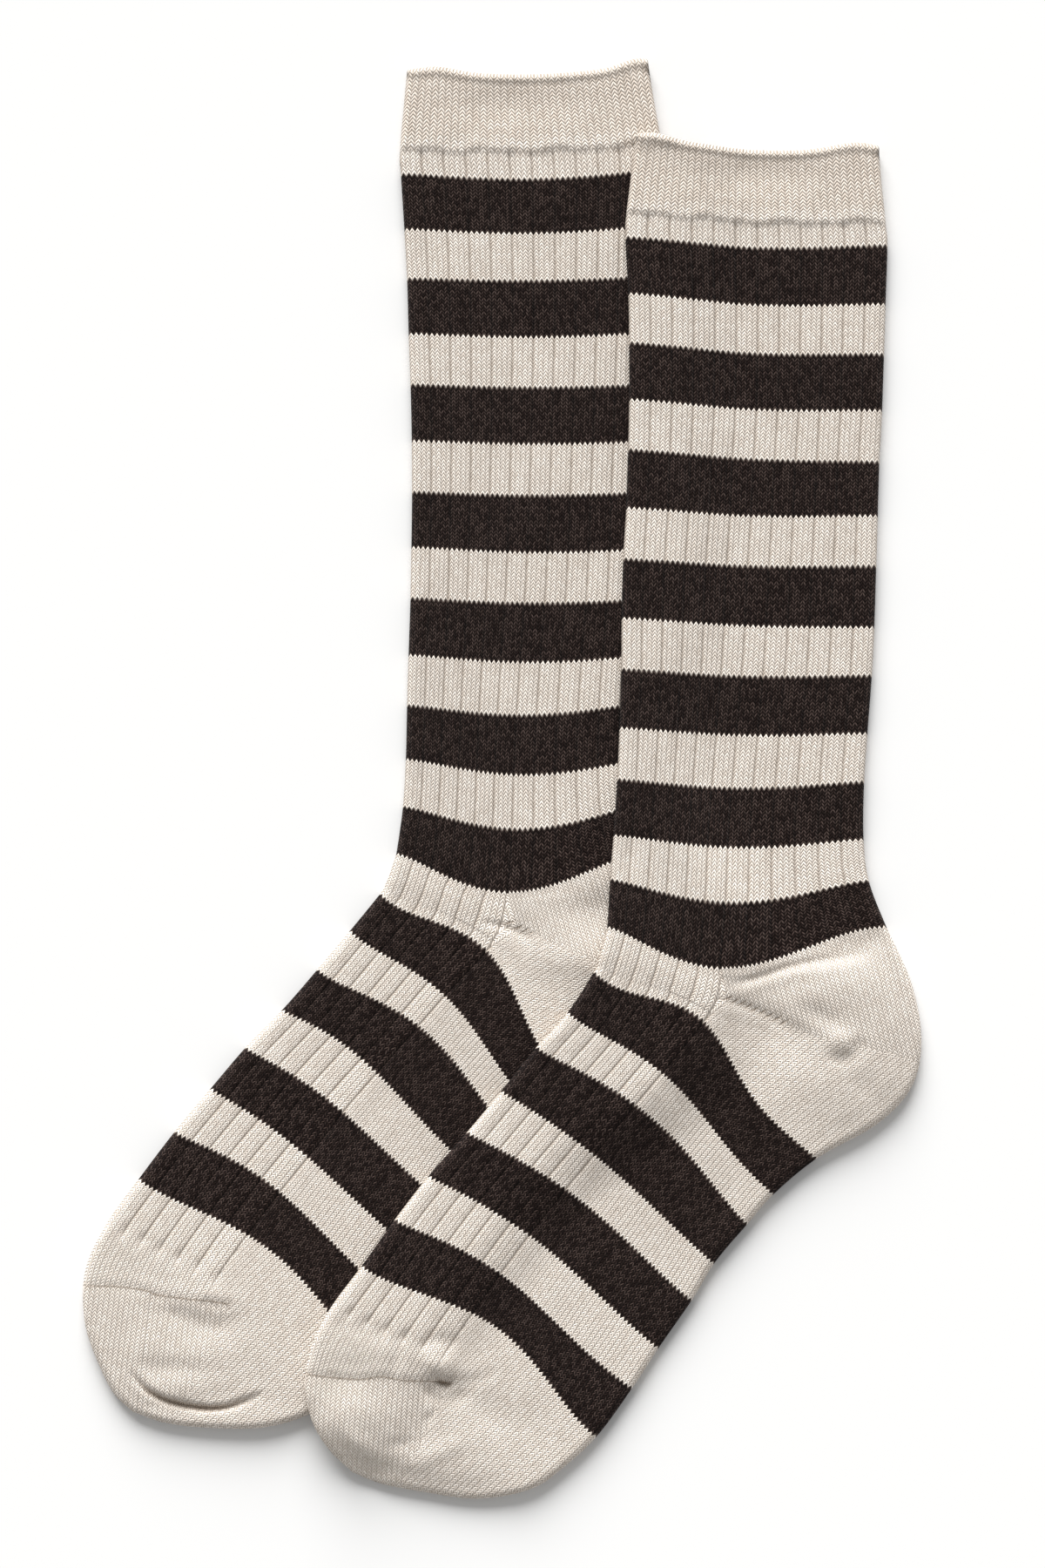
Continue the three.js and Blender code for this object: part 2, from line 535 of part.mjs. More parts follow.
const group = new THREE.Group();
group.name = "pair_of_socks";
group.add(lower.group, upper.group);
group.position.set(-PLAN_CENTRE.x, -PLAN_CENTRE.y, 0);

export default group;
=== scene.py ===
# A pair of ribbed, striped crew socks, laid flat in profile with the second sock partly on the first.
# +Z is up and the socks lie on z = 0. The toes point to -X -Y, the cuffs to +Y. The cloth is worked out
# in millimetres, as its tables are, and MM turns it into metres where a mesh is made.
# Each sock is one flattened tube of knitting. Courses run across it from its front edge to its back edge,
# wales run along it, and a place in the cloth is a course number and a wale.

import math

import bpy
import numpy as np
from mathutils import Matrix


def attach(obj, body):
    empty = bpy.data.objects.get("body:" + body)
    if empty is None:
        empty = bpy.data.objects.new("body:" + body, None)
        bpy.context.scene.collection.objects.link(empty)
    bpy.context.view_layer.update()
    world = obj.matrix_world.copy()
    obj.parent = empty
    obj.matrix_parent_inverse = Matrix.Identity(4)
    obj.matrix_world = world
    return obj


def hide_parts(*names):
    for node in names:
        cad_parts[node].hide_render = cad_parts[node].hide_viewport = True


MM = 0.001

# Driving dimensions of the cloth
WALL_CUFF = 2.4
WALL_RIBBED = 1.8
WALL_PLAIN = 1.6
LEAST_WALL = 1.0
CUFF_RAISE = 0.8
LAYER_GAP = 0.4
EDGE_ROUND = 2.8
LEAST_EDGE_ROUND = 0.9
LEAST_HOLLOW = 0.4

# Ribs: each half of a lying tube, front edge to middle and middle to back edge, is six ribs wide
RIBS_A_HALF = 6
GROOVE_DEPTH = 0.32
GROOVE_HALF_WIDTH = 0.06
RIB_DOME = 0.12
UNDER_GROOVE = 0.25
RIB_END_DENT = 0.8
RIB_END_HALF_WIDTH = 0.2
RIB_END_RUN = 0.1
MIDDLE_BLEND = 0.25

# How the second sock comes down beside the first, and how loose cloth stands on the lying tube
DRAPE_RUN = 27
DRAPE_REACH = 3.5
DRAPE_BLEND = 2
DRAPE_FALLOFF = 6
PUFF_SPREAD = 0.21
PUFF_EDGE = 9

# The middle of the pair's plan, which the origin lies below
PLAN_CENTRE = (0.0, -1.1)

# Courses of each sock from its rim to the tip of its toe. front and back are a course's ends on the
# sock's outline, and places along it run from 0 at the front to 1 at the back. middle is the place of the
# wale that parts instep and sole. bow is how far the course bends towards the toe, bow_at where, and sharp
# how sharply. height is the lying tube's height, puff the loose cloth that stands on it and puff_at where.
COLUMNS = (
    "course", "front_x", "front_y", "back_x", "back_y",
    "middle", "bow", "bow_at", "sharp", "height", "puff", "puff_at",
)

UPPER_COURSES = (
    ("rim", 42.5, 205.0, 121.0, 201.5, 0.500, 1.3, 0.50, 3, 5.6, 0.3, 0.50),
    ("welt_end", 39.6, 181.7, 123.3, 179.5, 0.505, 1.4, 0.50, 3, 5.6, 0.3, 0.50),
    ("dark_1_start", 39.3, 174.4, 123.9, 172.5, 0.505, 1.8, 0.50, 3, 5.6, 0.3, 0.50),
    ("dark_1_end", 40.2, 156.5, 123.3, 153.7, 0.505, 1.7, 0.50, 3, 5.6, 0.3, 0.50),
    ("dark_2_start", 40.5, 140.6, 122.8, 137.5, 0.505, 1.4, 0.50, 3, 5.6, 0.3, 0.50),
    ("dark_2_end", 40.5, 122.6, 122.2, 119.6, 0.505, 1.3, 0.50, 3, 5.6, 0.3, 0.50),
    ("dark_3_start", 40.2, 106.4, 121.3, 102.8, 0.500, 0.9, 0.50, 3, 5.6, 0.3, 0.50),
    ("dark_3_end", 39.6, 87.9, 120.8, 85.7, 0.495, 1.2, 0.50, 3, 5.6, 0.3, 0.50),
    ("dark_4_start", 38.6, 71.4, 120.3, 69.4, 0.490, 1.0, 0.50, 3, 5.6, 0.3, 0.50),
    ("dark_4_end", 38.1, 52.6, 119.7, 49.8, 0.485, 0.9, 0.50, 3, 5.6, 0.3, 0.50),
    ("dark_5_start", 38.0, 36.1, 118.9, 34.2, 0.475, 1.2, 0.50, 3, 5.6, 0.3, 0.50),
    ("dark_5_end", 37.4, 17.4, 117.5, 15.7, 0.465, 1.4, 0.50, 3, 5.6, 0.3, 0.50),
    ("dark_6_start", 36.7, 0.8, 116.4, 0.0, 0.455, 2.4, 0.50, 3, 5.6, 0.4, 0.50),
    ("dark_6_end", 35.5, -17.1, 116.2, -18.5, 0.445, 3.1, 0.50, 3, 5.6, 0.6, 0.55),
    ("dark_7_start", 34.4, -31.4, 117.8, -31.9, 0.430, 7.0, 0.48, 3, 5.6, 1.0, 0.60),
    ("dark_7_end", 33.5, -46.5, 123.3, -46.5, 0.375, 12.9, 0.42, 3.5, 5.6, 1.8, 0.65),
    ("heel_1", 32.9, -49.3, 131.7, -65.5, 0.355, 7.8, 0.38, 5, 5.8, 3.2, 0.75),
    ("heel_2", 32.1, -52.1, 134.8, -83.7, 0.336, 3.3, 0.36, 5, 6.0, 3.8, 0.75),
    ("heel_3", 31.2, -54.9, 131.7, -98.6, 0.332, -0.4, 0.36, 5, 6.0, 3.6, 0.75),
    ("heel_4", 30.4, -57.7, 120.6, -110.6, 0.342, -4.4, 0.36, 6, 5.8, 2.6, 0.75),
    ("dark_8_start", 29.3, -61.0, 101.5, -121.5, 0.367, -10.7, 0.38, 8, 5.6, 1.4, 0.70),
    ("dark_8_end", 21.1, -73.9, 87.5, -133.0, 0.372, -5.6, 0.42, 5, 5.6, 0.8, 0.65),
    ("dark_9_start", 11.1, -85.1, 79.1, -142.5, 0.380, -6.6, 0.47, 3, 5.6, 0.6, 0.60),
    ("dark_9_end", -0.1, -99.1, 68.4, -155.1, 0.383, -2.8, 0.40, 3, 5.6, 0.5, 0.55),
    ("dark_10_start", -11.1, -112.3, 61.2, -166.9, 0.375, -4.3, 0.42, 3, 5.6, 0.5, 0.55),
    ("dark_10_end", -23.4, -126.3, 50.5, -182.3, 0.375, -4.1, 0.40, 3, 5.6, 0.5, 0.55),
    ("dark_11_start", -34.3, -140.3, 42.0, -195.2, 0.375, -5.5, 0.37, 4, 5.6, 0.7, 0.55),
    ("dark_11_end", -44.9, -155.1, 30.6, -210.8, 0.375, -9.4, 0.50, 4, 5.8, 1.2, 0.55),
    ("toe_1", -55.2, -169.0, 19.3, -221.4, 0.400, -6.6, 0.50, 3, 6.0, 1.6, 0.55),
    ("toe_2", -61.3, -181.0, 8.9, -228.2, 0.430, -3.4, 0.50, 3, 6.0, 1.6, 0.55),
    ("toe_3", -63.7, -194.3, -8.3, -231.3, 0.460, -1.0, 0.50, 3, 6.0, 1.4, 0.55),
    ("toe_4", -60.9, -206.1, -27.3, -228.8, 0.480, 0.0, 0.50, 3, 5.8, 0.8, 0.50),
    ("toe_5", -55.2, -215.6, -39.6, -226.3, 0.500, 0.0, 0.50, 3, 5.6, 0.2, 0.50),
    ("toe_tip", -48.3, -222.6, -48.3, -222.6, 0.500, 0.0, 0.50, 3, 5.6, 0.0, 0.50),
)

LOWER_COURSES = (
    ("rim", -31.0, 226.6, 46.8, 228.6, 0.500, 1.3, 0.50, 3, 5.6, 0.3, 0.50),
    ("welt_end", -33.2, 202.7, 51.2, 204.6, 0.500, 1.4, 0.50, 3, 5.6, 0.3, 0.50),
    ("dark_1_start", -32.9, 195.4, 51.9, 196.8, 0.500, 2.4, 0.50, 3, 5.6, 0.3, 0.50),
    ("dark_1_end", -31.8, 177.8, 51.4, 178.9, 0.500, 1.9, 0.50, 3, 5.6, 0.3, 0.50),
    ("dark_2_start", -30.9, 161.8, 50.8, 162.4, 0.500, 1.0, 0.50, 3, 5.6, 0.3, 0.50),
    ("dark_2_end", -30.4, 144.2, 50.2, 144.5, 0.500, 1.2, 0.50, 3, 5.6, 0.3, 0.50),
    ("dark_3_start", -29.8, 127.7, 49.5, 127.7, 0.495, 0.9, 0.50, 3, 5.6, 0.3, 0.50),
    ("dark_3_end", -29.4, 109.8, 48.9, 109.5, 0.490, 0.9, 0.50, 3, 5.6, 0.3, 0.50),
    ("dark_4_start", -29.3, 93.2, 48.3, 93.0, 0.485, 1.0, 0.50, 3, 5.6, 0.3, 0.50),
    ("dark_4_end", -29.5, 75.6, 47.7, 74.8, 0.480, 1.3, 0.50, 3, 5.6, 0.3, 0.50),
    ("dark_5_start", -29.8, 59.1, 46.9, 58.5, 0.475, 1.3, 0.50, 3, 5.6, 0.3, 0.50),
    ("dark_5_end", -30.4, 40.9, 45.5, 40.3, 0.468, 2.0, 0.50, 3, 5.6, 0.3, 0.50),
    ("dark_6_start", -30.9, 24.6, 44.5, 25.0, 0.460, 3.3, 0.50, 3, 5.6, 0.4, 0.50),
    ("dark_6_end", -31.3, 7.3, 44.3, 6.7, 0.450, 4.6, 0.50, 3, 5.6, 0.5, 0.50),
    ("dark_7_start", -32.2, -8.1, 46.0, -7.3, 0.435, 7.4, 0.49, 3, 5.6, 0.8, 0.50),
    ("dark_7_end", -34.3, -23.2, 51.4, -21.3, 0.390, 12.9, 0.43, 3.5, 5.6, 1.2, 0.50),
    ("heel_1", -35.1, -26.0, 59.0, -40.3, 0.366, 7.2, 0.38, 5, 5.8, 1.6, 0.55),
    ("heel_2", -36.0, -28.8, 62.0, -58.5, 0.345, 3.1, 0.36, 5, 6.0, 1.8, 0.55),
    ("heel_3", -36.9, -31.3, 59.0, -73.4, 0.340, -0.2, 0.36, 5, 6.0, 1.8, 0.55),
    ("heel_4", -37.9, -33.6, 48.0, -88.0, 0.350, -4.4, 0.37, 5, 5.8, 1.4, 0.55),
    ("dark_8_start", -39.3, -36.1, 26.5, -102.5, 0.370, -11.6, 0.40, 6, 5.6, 1.0, 0.55),
    ("dark_8_end", -48.9, -47.9, 14.7, -110.3, 0.385, -6.4, 0.42, 5, 5.6, 0.7, 0.50),
    ("dark_9_start", -59.5, -60.5, 7.2, -117.3, 0.395, -7.6, 0.45, 4, 5.6, 0.5, 0.50),
    ("dark_9_end", -70.7, -73.4, -3.8, -129.9, 0.393, -4.6, 0.32, 4, 5.6, 0.4, 0.50),
    ("dark_10_start", -82.6, -85.6, -11.2, -141.7, 0.390, -3.4, 0.34, 4, 5.6, 0.4, 0.50),
    ("dark_10_end", -93.7, -98.6, -21.4, -157.1, 0.388, -2.6, 0.34, 4, 5.6, 0.4, 0.50),
    ("dark_11_start", -105.4, -112.6, -30.2, -170.0, 0.385, -5.4, 0.36, 4, 5.6, 0.6, 0.50),
    ("dark_11_end", -116.9, -127.7, -41.4, -185.9, 0.380, -7.8, 0.50, 4, 5.8, 1.0, 0.50),
    ("toe_1", -128.2, -143.5, -51.9, -196.3, 0.400, -5.6, 0.50, 3, 6.0, 1.4, 0.50),
    ("toe_2", -134.6, -158.0, -62.2, -204.0, 0.430, -3.0, 0.50, 3, 6.0, 1.4, 0.50),
    ("toe_3", -134.8, -174.0, -77.6, -208.4, 0.460, -1.0, 0.50, 3, 6.0, 1.2, 0.50),
    ("toe_4", -130.6, -187.2, -95.9, -208.4, 0.480, 0.0, 0.50, 3, 5.8, 0.7, 0.50),
    ("toe_5", -125.2, -197.6, -109.0, -206.8, 0.500, 0.0, 0.50, 3, 5.6, 0.2, 0.50),
    ("toe_tip", -119.0, -203.4, -119.0, -203.4, 0.500, 0.0, 0.50, 3, 5.6, 0.0, 0.50),
)

# Rows of those tables where the cloth changes
WELT_END = 1
LEG_END = 15
FOOT_START = 20
TOE_START = 27
RIBS_END = 27.9
HOLLOW_END = 32

# Largest soft forms of the top layer: a trough round x, y that runs at an angle in degrees from +X.
# A depth below 0 is a swelling.
FOLD_COLUMNS = ("fold", "x", "y", "angle", "half_length", "half_width", "depth")

UPPER_FOLDS = (
    ("cuff_hollow", 80.5, 194.5, 0, 24, 6.0, 0.9),
    ("ankle_front", 40.5, -23.0, 75, 9, 4.0, 0.8),
    ("heel_valley", 111.0, -54.5, 18, 13, 4.0, 1.2),
    ("heel_bulge", 99.0, -67.5, 8, 20, 7.0, -1.2),
    ("heel_gore", 79.0, -72.5, -19, 10, 3.5, 0.3),
    ("heel_over_knob", 102.6, -76.0, -25, 7, 3.0, 0.8),
    ("heel_knob", 108.3, -83.2, 20, 3.4, 3.4, -1.3),
    ("heel_slope", 94.0, -84.5, -32, 14, 5.0, 0.9),
    ("heel_lower", 118.0, -99.5, -60, 9, 4.5, 0.6),
    ("toe_pucker", -20.3, -194.3, -50, 6, 4.5, 1.0),
    ("toe_hollow", -4.9, -202.7, -30, 13, 6.0, 1.0),
    ("toe_knob", -20.3, -187.0, -20, 5.0, 4.4, -2.3),
    ("toe_above_knob", -19.2, -179.6, -8, 5.0, 1.8, 1.0),
    ("toe_run", -34.0, -185.0, 75, 6.5, 2.2, 0.8),
    ("toe_groove_ends", -42.0, -176.5, -15, 14, 2.8, 0.5),
    ("toe_pocket", -23.4, -197.0, -45, 3.4, 1.9, 1.2),
    ("toe_pocket_side", -14.2, -198.2, 15, 3.2, 1.9, 1.0),
    ("toe_dot", -23.4, -204.4, 60, 2.4, 1.4, 0.6),
    ("toe_ridge", -19.0, -215.0, 25, 9, 3.0, -0.7),
    ("toe_ridge_front", -46.0, -212.5, -38, 7, 3.0, -0.7),
    ("toe_patch", -33.0, -213.0, 5, 4, 2.0, 0.6),
    ("toe_left_shade", -43.0, -193.5, -4, 17, 7.0, 1.4),
)

LOWER_FOLDS = (
    ("cuff_hollow", 4.0, 217.0, 2, 22, 6.0, 0.8),
    ("heel_valley", 30.0, -41.5, 6, 13, 6.5, 1.7),
    ("heel_bulge", 24.0, -57.0, 4, 13, 5.5, -1.0),
    ("heel_gore", 3.0, -47.5, -22, 9, 3.5, 0.7),
    ("toe_hollow", -97.5, -176.0, 3, 15, 5.5, 1.2),
    ("toe_turn", -95.0, -200.0, 2, 20, 3.0, 0.6),
    ("toe_under_seam", -104.5, -171.3, -8, 7, 2.6, 0.8),
    ("toe_swelling", -112.0, -179.5, 60, 9, 5.5, -0.6),
    ("toe_above_lip", -104.5, -188.8, -3, 11, 2.8, 0.7),
    ("toe_lip", -104.0, -195.4, -14, 11, 2.6, -0.4),
)

# Finer creases of the top layer, each a curve through a few points from front to back. The trough is width
# wide to each side and depth deep, and the cloth to the left of its run stands up beside it by ridge, or
# to the right where ridge is below 0.
CREASE_COLUMNS = ("crease", "points", "width", "depth", "ridge")

UPPER_SEAM = (
    (-66.0, -189.6), (-57.0, -190.9), (-45.8, -191.9), (-39.3, -191.0), (-31.5, -192.3), (-24.0, -192.6),
    (-17.5, -193.6),
)
UPPER_TUCK = ((-22.0, -192.6), (-19.6, -193.4), (-17.4, -193.8), (-15.6, -192.8))

UPPER_CREASES = (
    ("under_dark_7", ((73.0, -65.6), (82.0, -63.2), (94.0, -59.4), (106.0, -57.4), (118.0, -55.4)), 1.4, 1.0, -0.4),
    ("gore", ((68.5, -70.0), (78.0, -72.5), (88.5, -77.0)), 1.2, 0.25, 0.1),
    ("gore_fade", ((86.0, -76.0), (95.0, -80.5), (104.0, -83.6)), 2.4, 0.4, 0.2),
    ("under_knob", ((104.0, -88.2), (108.5, -89.6), (113.0, -87.6), (115.4, -82.6)), 2.2, 0.9, 0.0),
    ("toe_seam", UPPER_SEAM, 1.0, 0.4, 0.3),
    ("toe_tuck", UPPER_TUCK, 1.2, 1.4, 0.6),
    ("toe_seam_end", ((-17.5, -193.6), (-8.0, -192.5), (-1.0, -189.0)), 1.8, 0.4, 0.3),
    ("toe_front", ((-64.0, -199.0), (-58.0, -212.0), (-40.0, -227.0), (-20.0, -231.0), (4.0, -230.5)), 6.0, 1.5, 0.6),
)

LOWER_SEAM = (
    (-136.0, -162.5), (-123.9, -162.7), (-114.4, -164.0), (-111.9, -165.2), (-101.9, -166.5), (-93.9, -167.3),
    (-87.4, -168.4),
)
LOWER_TUCK = (
    (-119.9, -190.2), (-114.9, -195.7), (-109.0, -199.1), (-102.4, -201.0), (-94.9, -202.0), (-87.4, -201.2),
    (-77.4, -197.1),
)

LOWER_CREASES = (
    ("gore", ((-7.0, -45.5), (1.5, -47.5), (9.0, -51.0)), 1.2, 0.5, 0.2),
    ("toe_seam", LOWER_SEAM, 1.0, 0.4, 0.3),
    ("toe_seam_deep", ((-97.0, -167.0), (-91.0, -167.9), (-86.5, -168.5)), 0.9, 0.8, 0.4),
    ("toe_arc", ((-111.0, -170.5), (-100.0, -174.5), (-92.0, -175.6), (-82.0, -170.0)), 2.2, 0.35, 0.0),
    ("toe_tuck", LOWER_TUCK, 1.1, 1.7, 0.5),
)

# Where the rim of the cuff stands up, as a place along it, a rise towards the cuff's end and a half width
RIM_COLUMNS = ("place", "rise", "half_width")
UPPER_RIM = ((0.07, 1.6, 0.09), (0.90, 2.5, 0.13), (0.46, -0.4, 0.18))
LOWER_RIM = ((0.12, 2.0, 0.12), (0.96, 2.6, 0.10), (0.55, -0.4, 0.20))
RIM_FADE = 0.5

# The rounded band along the rim, the line below it, and the step down from the cuff to the leg
CUFF_LENGTH = 23.4
RIM_BAND_AT = 1.1
RIM_BAND_HALF = 1.3
RIM_BAND_HEIGHT = 0.5
RIM_LINE_AT = 2.9
RIM_LINE_HALF = 0.6
RIM_LINE_DEPTH = 0.35
WELT_STEP = 0.07
WELT_WOBBLE = 0.022
WELT_PUCKER = 0.18
WELT_PUCKER_RUN = 0.10
ROLL_ANGLES = (30, 60, 90, 120, 150)

# Low unevenness of the lying cloth: wave length along X and along Y, turn in degrees and height
LUMPS = (
    (61.0, 83.0, 20, 0.10),
    (37.0, 29.0, 140, 0.08),
    (19.0, 23.0, 250, 0.05),
    (11.0, 17.0, 75, 0.03),
)

# Creases on the underside, which otherwise lies flat: a share of those on top, and their most
UNDER_SHARE = 0.35
UNDER_MOST = 0.6

# Points across a rib, as shares of it, on top and below, and from the folded edge inwards
TOP_STEPS = (0.0, 0.06, 0.13, 0.22, 0.36, 0.5, 0.64, 0.78, 0.87, 0.94)
UNDER_STEPS = (0.0, 0.12, 0.5, 0.88)
EDGE_STEPS = (0.0, 0.012, 0.04, 0.09, 0.16, 0.25, 0.35, 0.47, 0.6, 0.74, 0.86, 0.94)
UNDER_EDGE_STEPS = (0.012, 0.04, 0.09, 0.16, 0.25, 0.4, 0.7)

# Rows of points from one row of the table to the next, on the leg, heel, foot and toe, and how many of
# them the hidden inner layer has one of
LEG_ROWS = 13
CUFF_ROWS = 20
HEEL_ROWS = 13
FOOT_ROWS = 12
TOE_ROWS = 10
INNER_EVERY = 6

# Knitting: stitches across half a lying tube, courses in each stretch, and the height of a course
WALES_RIBBED = 24
WALES_SOLE = 36
WALES_CUFF = 18
WALES_A_RIB = 4
CUFF_COURSES = 20
STRIP_COURSES = 6
DARK_COURSES = 16
CREAM_COURSES = 14
COURSE_HEIGHT = 1.12
TOE_WALE = 1.65
PLAIN_FROM = 5.0
PLAIN_FULL = 9.0

# The wales between which each heel's gore shows its slits
GORE_FROM = 0.01
UPPER_GORE_TO = 0.34
LOWER_GORE_TO = 0.14

OUTLINE_STEP = 0.25
COVER_STEP = 0.25
COVER_STEPS_ACROSS = 20
CURVE_STEPS = 60
CREASE_STEPS = 14
CHUNK = 4000


def smooth(value):
    return value * value * (3 - 2 * value)


def ramp(value, low, high):
    """A soft rise from 0 at low to 1 at high."""
    return smooth(np.clip((value - low) / (high - low), 0, 1))


def as_columns(columns, rows):
    return {column: np.array([row[i] for row in rows]) for i, column in enumerate(columns)}


def as_records(columns, rows):
    return [dict(zip(columns, row)) for row in rows]


def blend_four(before, start, end, after, part):
    """A curve through four values, at a part from 0 to 1 of the way between the middle two."""
    slope_start = (end - before) / 2
    slope_end = (after - start) / 2
    rise = end - start
    square = 3 * rise - 2 * slope_start - slope_end
    cube = slope_start + slope_end - 2 * rise
    return start + part * (slope_start + part * (square + part * cube))


def course_at(courses, number):
    """The courses at numbers along the sock, where whole numbers are the rows of its table."""
    last = len(courses["course"]) - 1
    row = np.clip(np.floor(number).astype(int), 0, last - 1)
    near = [np.clip(row + step, 0, last) for step in (-1, 0, 1, 2)]
    return {
        column: blend_four(*(courses[column][index] for index in near), number - row)
        for column in COLUMNS[1:]
    }


def width_of(course):
    return np.hypot(course["back_x"] - course["front_x"], course["back_y"] - course["front_y"])


def bow_share(place, peak, sharp):
    """Share of the bow at a place along a course: 0 at both ends and 1 at the place of its peak."""
    inside = np.clip(place, 1e-6, 1 - 1e-6)
    share = (inside / peak) ** (sharp * peak) * ((1 - inside) / (1 - peak)) ** (sharp * (1 - peak))
    return np.where((place > 0) & (place < 1), share, 0)


def plan_point(course, place, outwards=0.0):
    """The plan of a course at places along it, moved outwards by a distance towards the cuff."""
    width = np.maximum(width_of(course), 1e-6)
    chord_x = course["back_x"] - course["front_x"]
    chord_y = course["back_y"] - course["front_y"]
    bend = course["bow"] * bow_share(place, course["bow_at"], course["sharp"]) - outwards
    x = course["front_x"] + chord_x * place + chord_y / width * bend
    y = course["front_y"] + chord_y * place - chord_x / width * bend
    return x, y


def wale_ramp(wale):
    return (np.sqrt(wale * wale + MIDDLE_BLEND * MIDDLE_BLEND) + wale) / 2


def place_of_wale(course, wale):
    """The place of a wale along a course. Wales run from -1 at the front edge to 1 at the back edge."""
    return course["middle"] * (1 + wale) + (1 - 2 * course["middle"]) * (wale_ramp(wale) - wale_ramp(-1.0))


def nearest_on(x, y, line_x, line_y):
    """Distance from points to a line of points, where along it from 0 to 1, and on which side."""
    shape = np.shape(x)
    flat_x = np.ravel(x)
    flat_y = np.ravel(y)
    along_x = np.diff(line_x)
    along_y = np.diff(line_y)
    length = np.hypot(along_x, along_y)
    starts = np.concatenate([[0], np.cumsum(length)])
    distance = np.empty(len(flat_x))
    share = np.empty(len(flat_x))
    side = np.empty(len(flat_x))
    for first in range(0, len(flat_x), CHUNK):
        part = slice(first, first + CHUNK)
        reach_x = flat_x[part, None] - line_x[:-1]
        reach_y = flat_y[part, None] - line_y[:-1]
        step = np.clip((reach_x * along_x + reach_y * along_y) / length ** 2, 0, 1)
        gap = np.hypot(reach_x - step * along_x, reach_y - step * along_y)
        best = np.argmin(gap, axis=1)
        rows = np.arange(len(best))
        distance[part] = gap[rows, best]
        share[part] = (starts[best] + step[rows, best] * length[best]) / starts[-1]
        side[part] = np.sign(along_x[best] * reach_y[rows, best] - along_y[best] * reach_x[rows, best])
    return distance.reshape(shape), share.reshape(shape), side.reshape(shape)


def round_share(distance, radius):
    """Share of the full height at a distance from a round edge: 0 on the edge, 1 from the radius inwards."""
    short = 1 - np.clip(distance / radius, 0, 1)
    return np.sqrt(1 - short * short)


def fold_depth(folds, x, y):
    depth = np.zeros(np.shape(x))
    for fold in folds:
        turn = math.radians(fold["angle"])
        along = (x - fold["x"]) * math.cos(turn) + (y - fold["y"]) * math.sin(turn)
        across = (y - fold["y"]) * math.cos(turn) - (x - fold["x"]) * math.sin(turn)
        depth += fold["depth"] * np.exp(-(along / fold["half_length"]) ** 2 - (across / fold["half_width"]) ** 2)
    return depth


def curve_through(points):
    """A smooth line of points through a few given ones."""
    given = np.array(points)
    last = len(given) - 1
    number = np.linspace(0, last, last * CREASE_STEPS + 1)
    row = np.clip(np.floor(number).astype(int), 0, last - 1)
    near = [given[np.clip(row + step, 0, last)] for step in (-1, 0, 1, 2)]
    line = blend_four(*near, (number - row)[:, None])
    return line[:, 0], line[:, 1]


def crease_lift(creases, x, y):
    """Rise of the cloth at creases: below 0 in a crease's trough, above it on the ridge beside."""
    lift = np.zeros(np.shape(x))
    for crease in creases:
        distance, share, side = nearest_on(x, y, *curve_through(crease["points"]))
        taper = np.sqrt(np.clip(4 * share * (1 - share), 0, 1))
        width = crease["width"]
        trough = crease["depth"] * np.exp(-(distance / width) ** 2)
        towards_ridge = distance * side * np.sign(crease["ridge"])
        ridge = abs(crease["ridge"]) * np.exp(-((towards_ridge - 2 * width) / (1.5 * width)) ** 2)
        lift += taper * (ridge - trough)
    return lift


def lumps(x, y):
    height = np.zeros(np.shape(x))
    for wave_x, wave_y, turn, size in LUMPS:
        phase = math.radians(turn)
        height += size * np.sin(2 * math.pi * x / wave_x + phase) * np.sin(2 * math.pi * y / wave_y + phase)
    return height


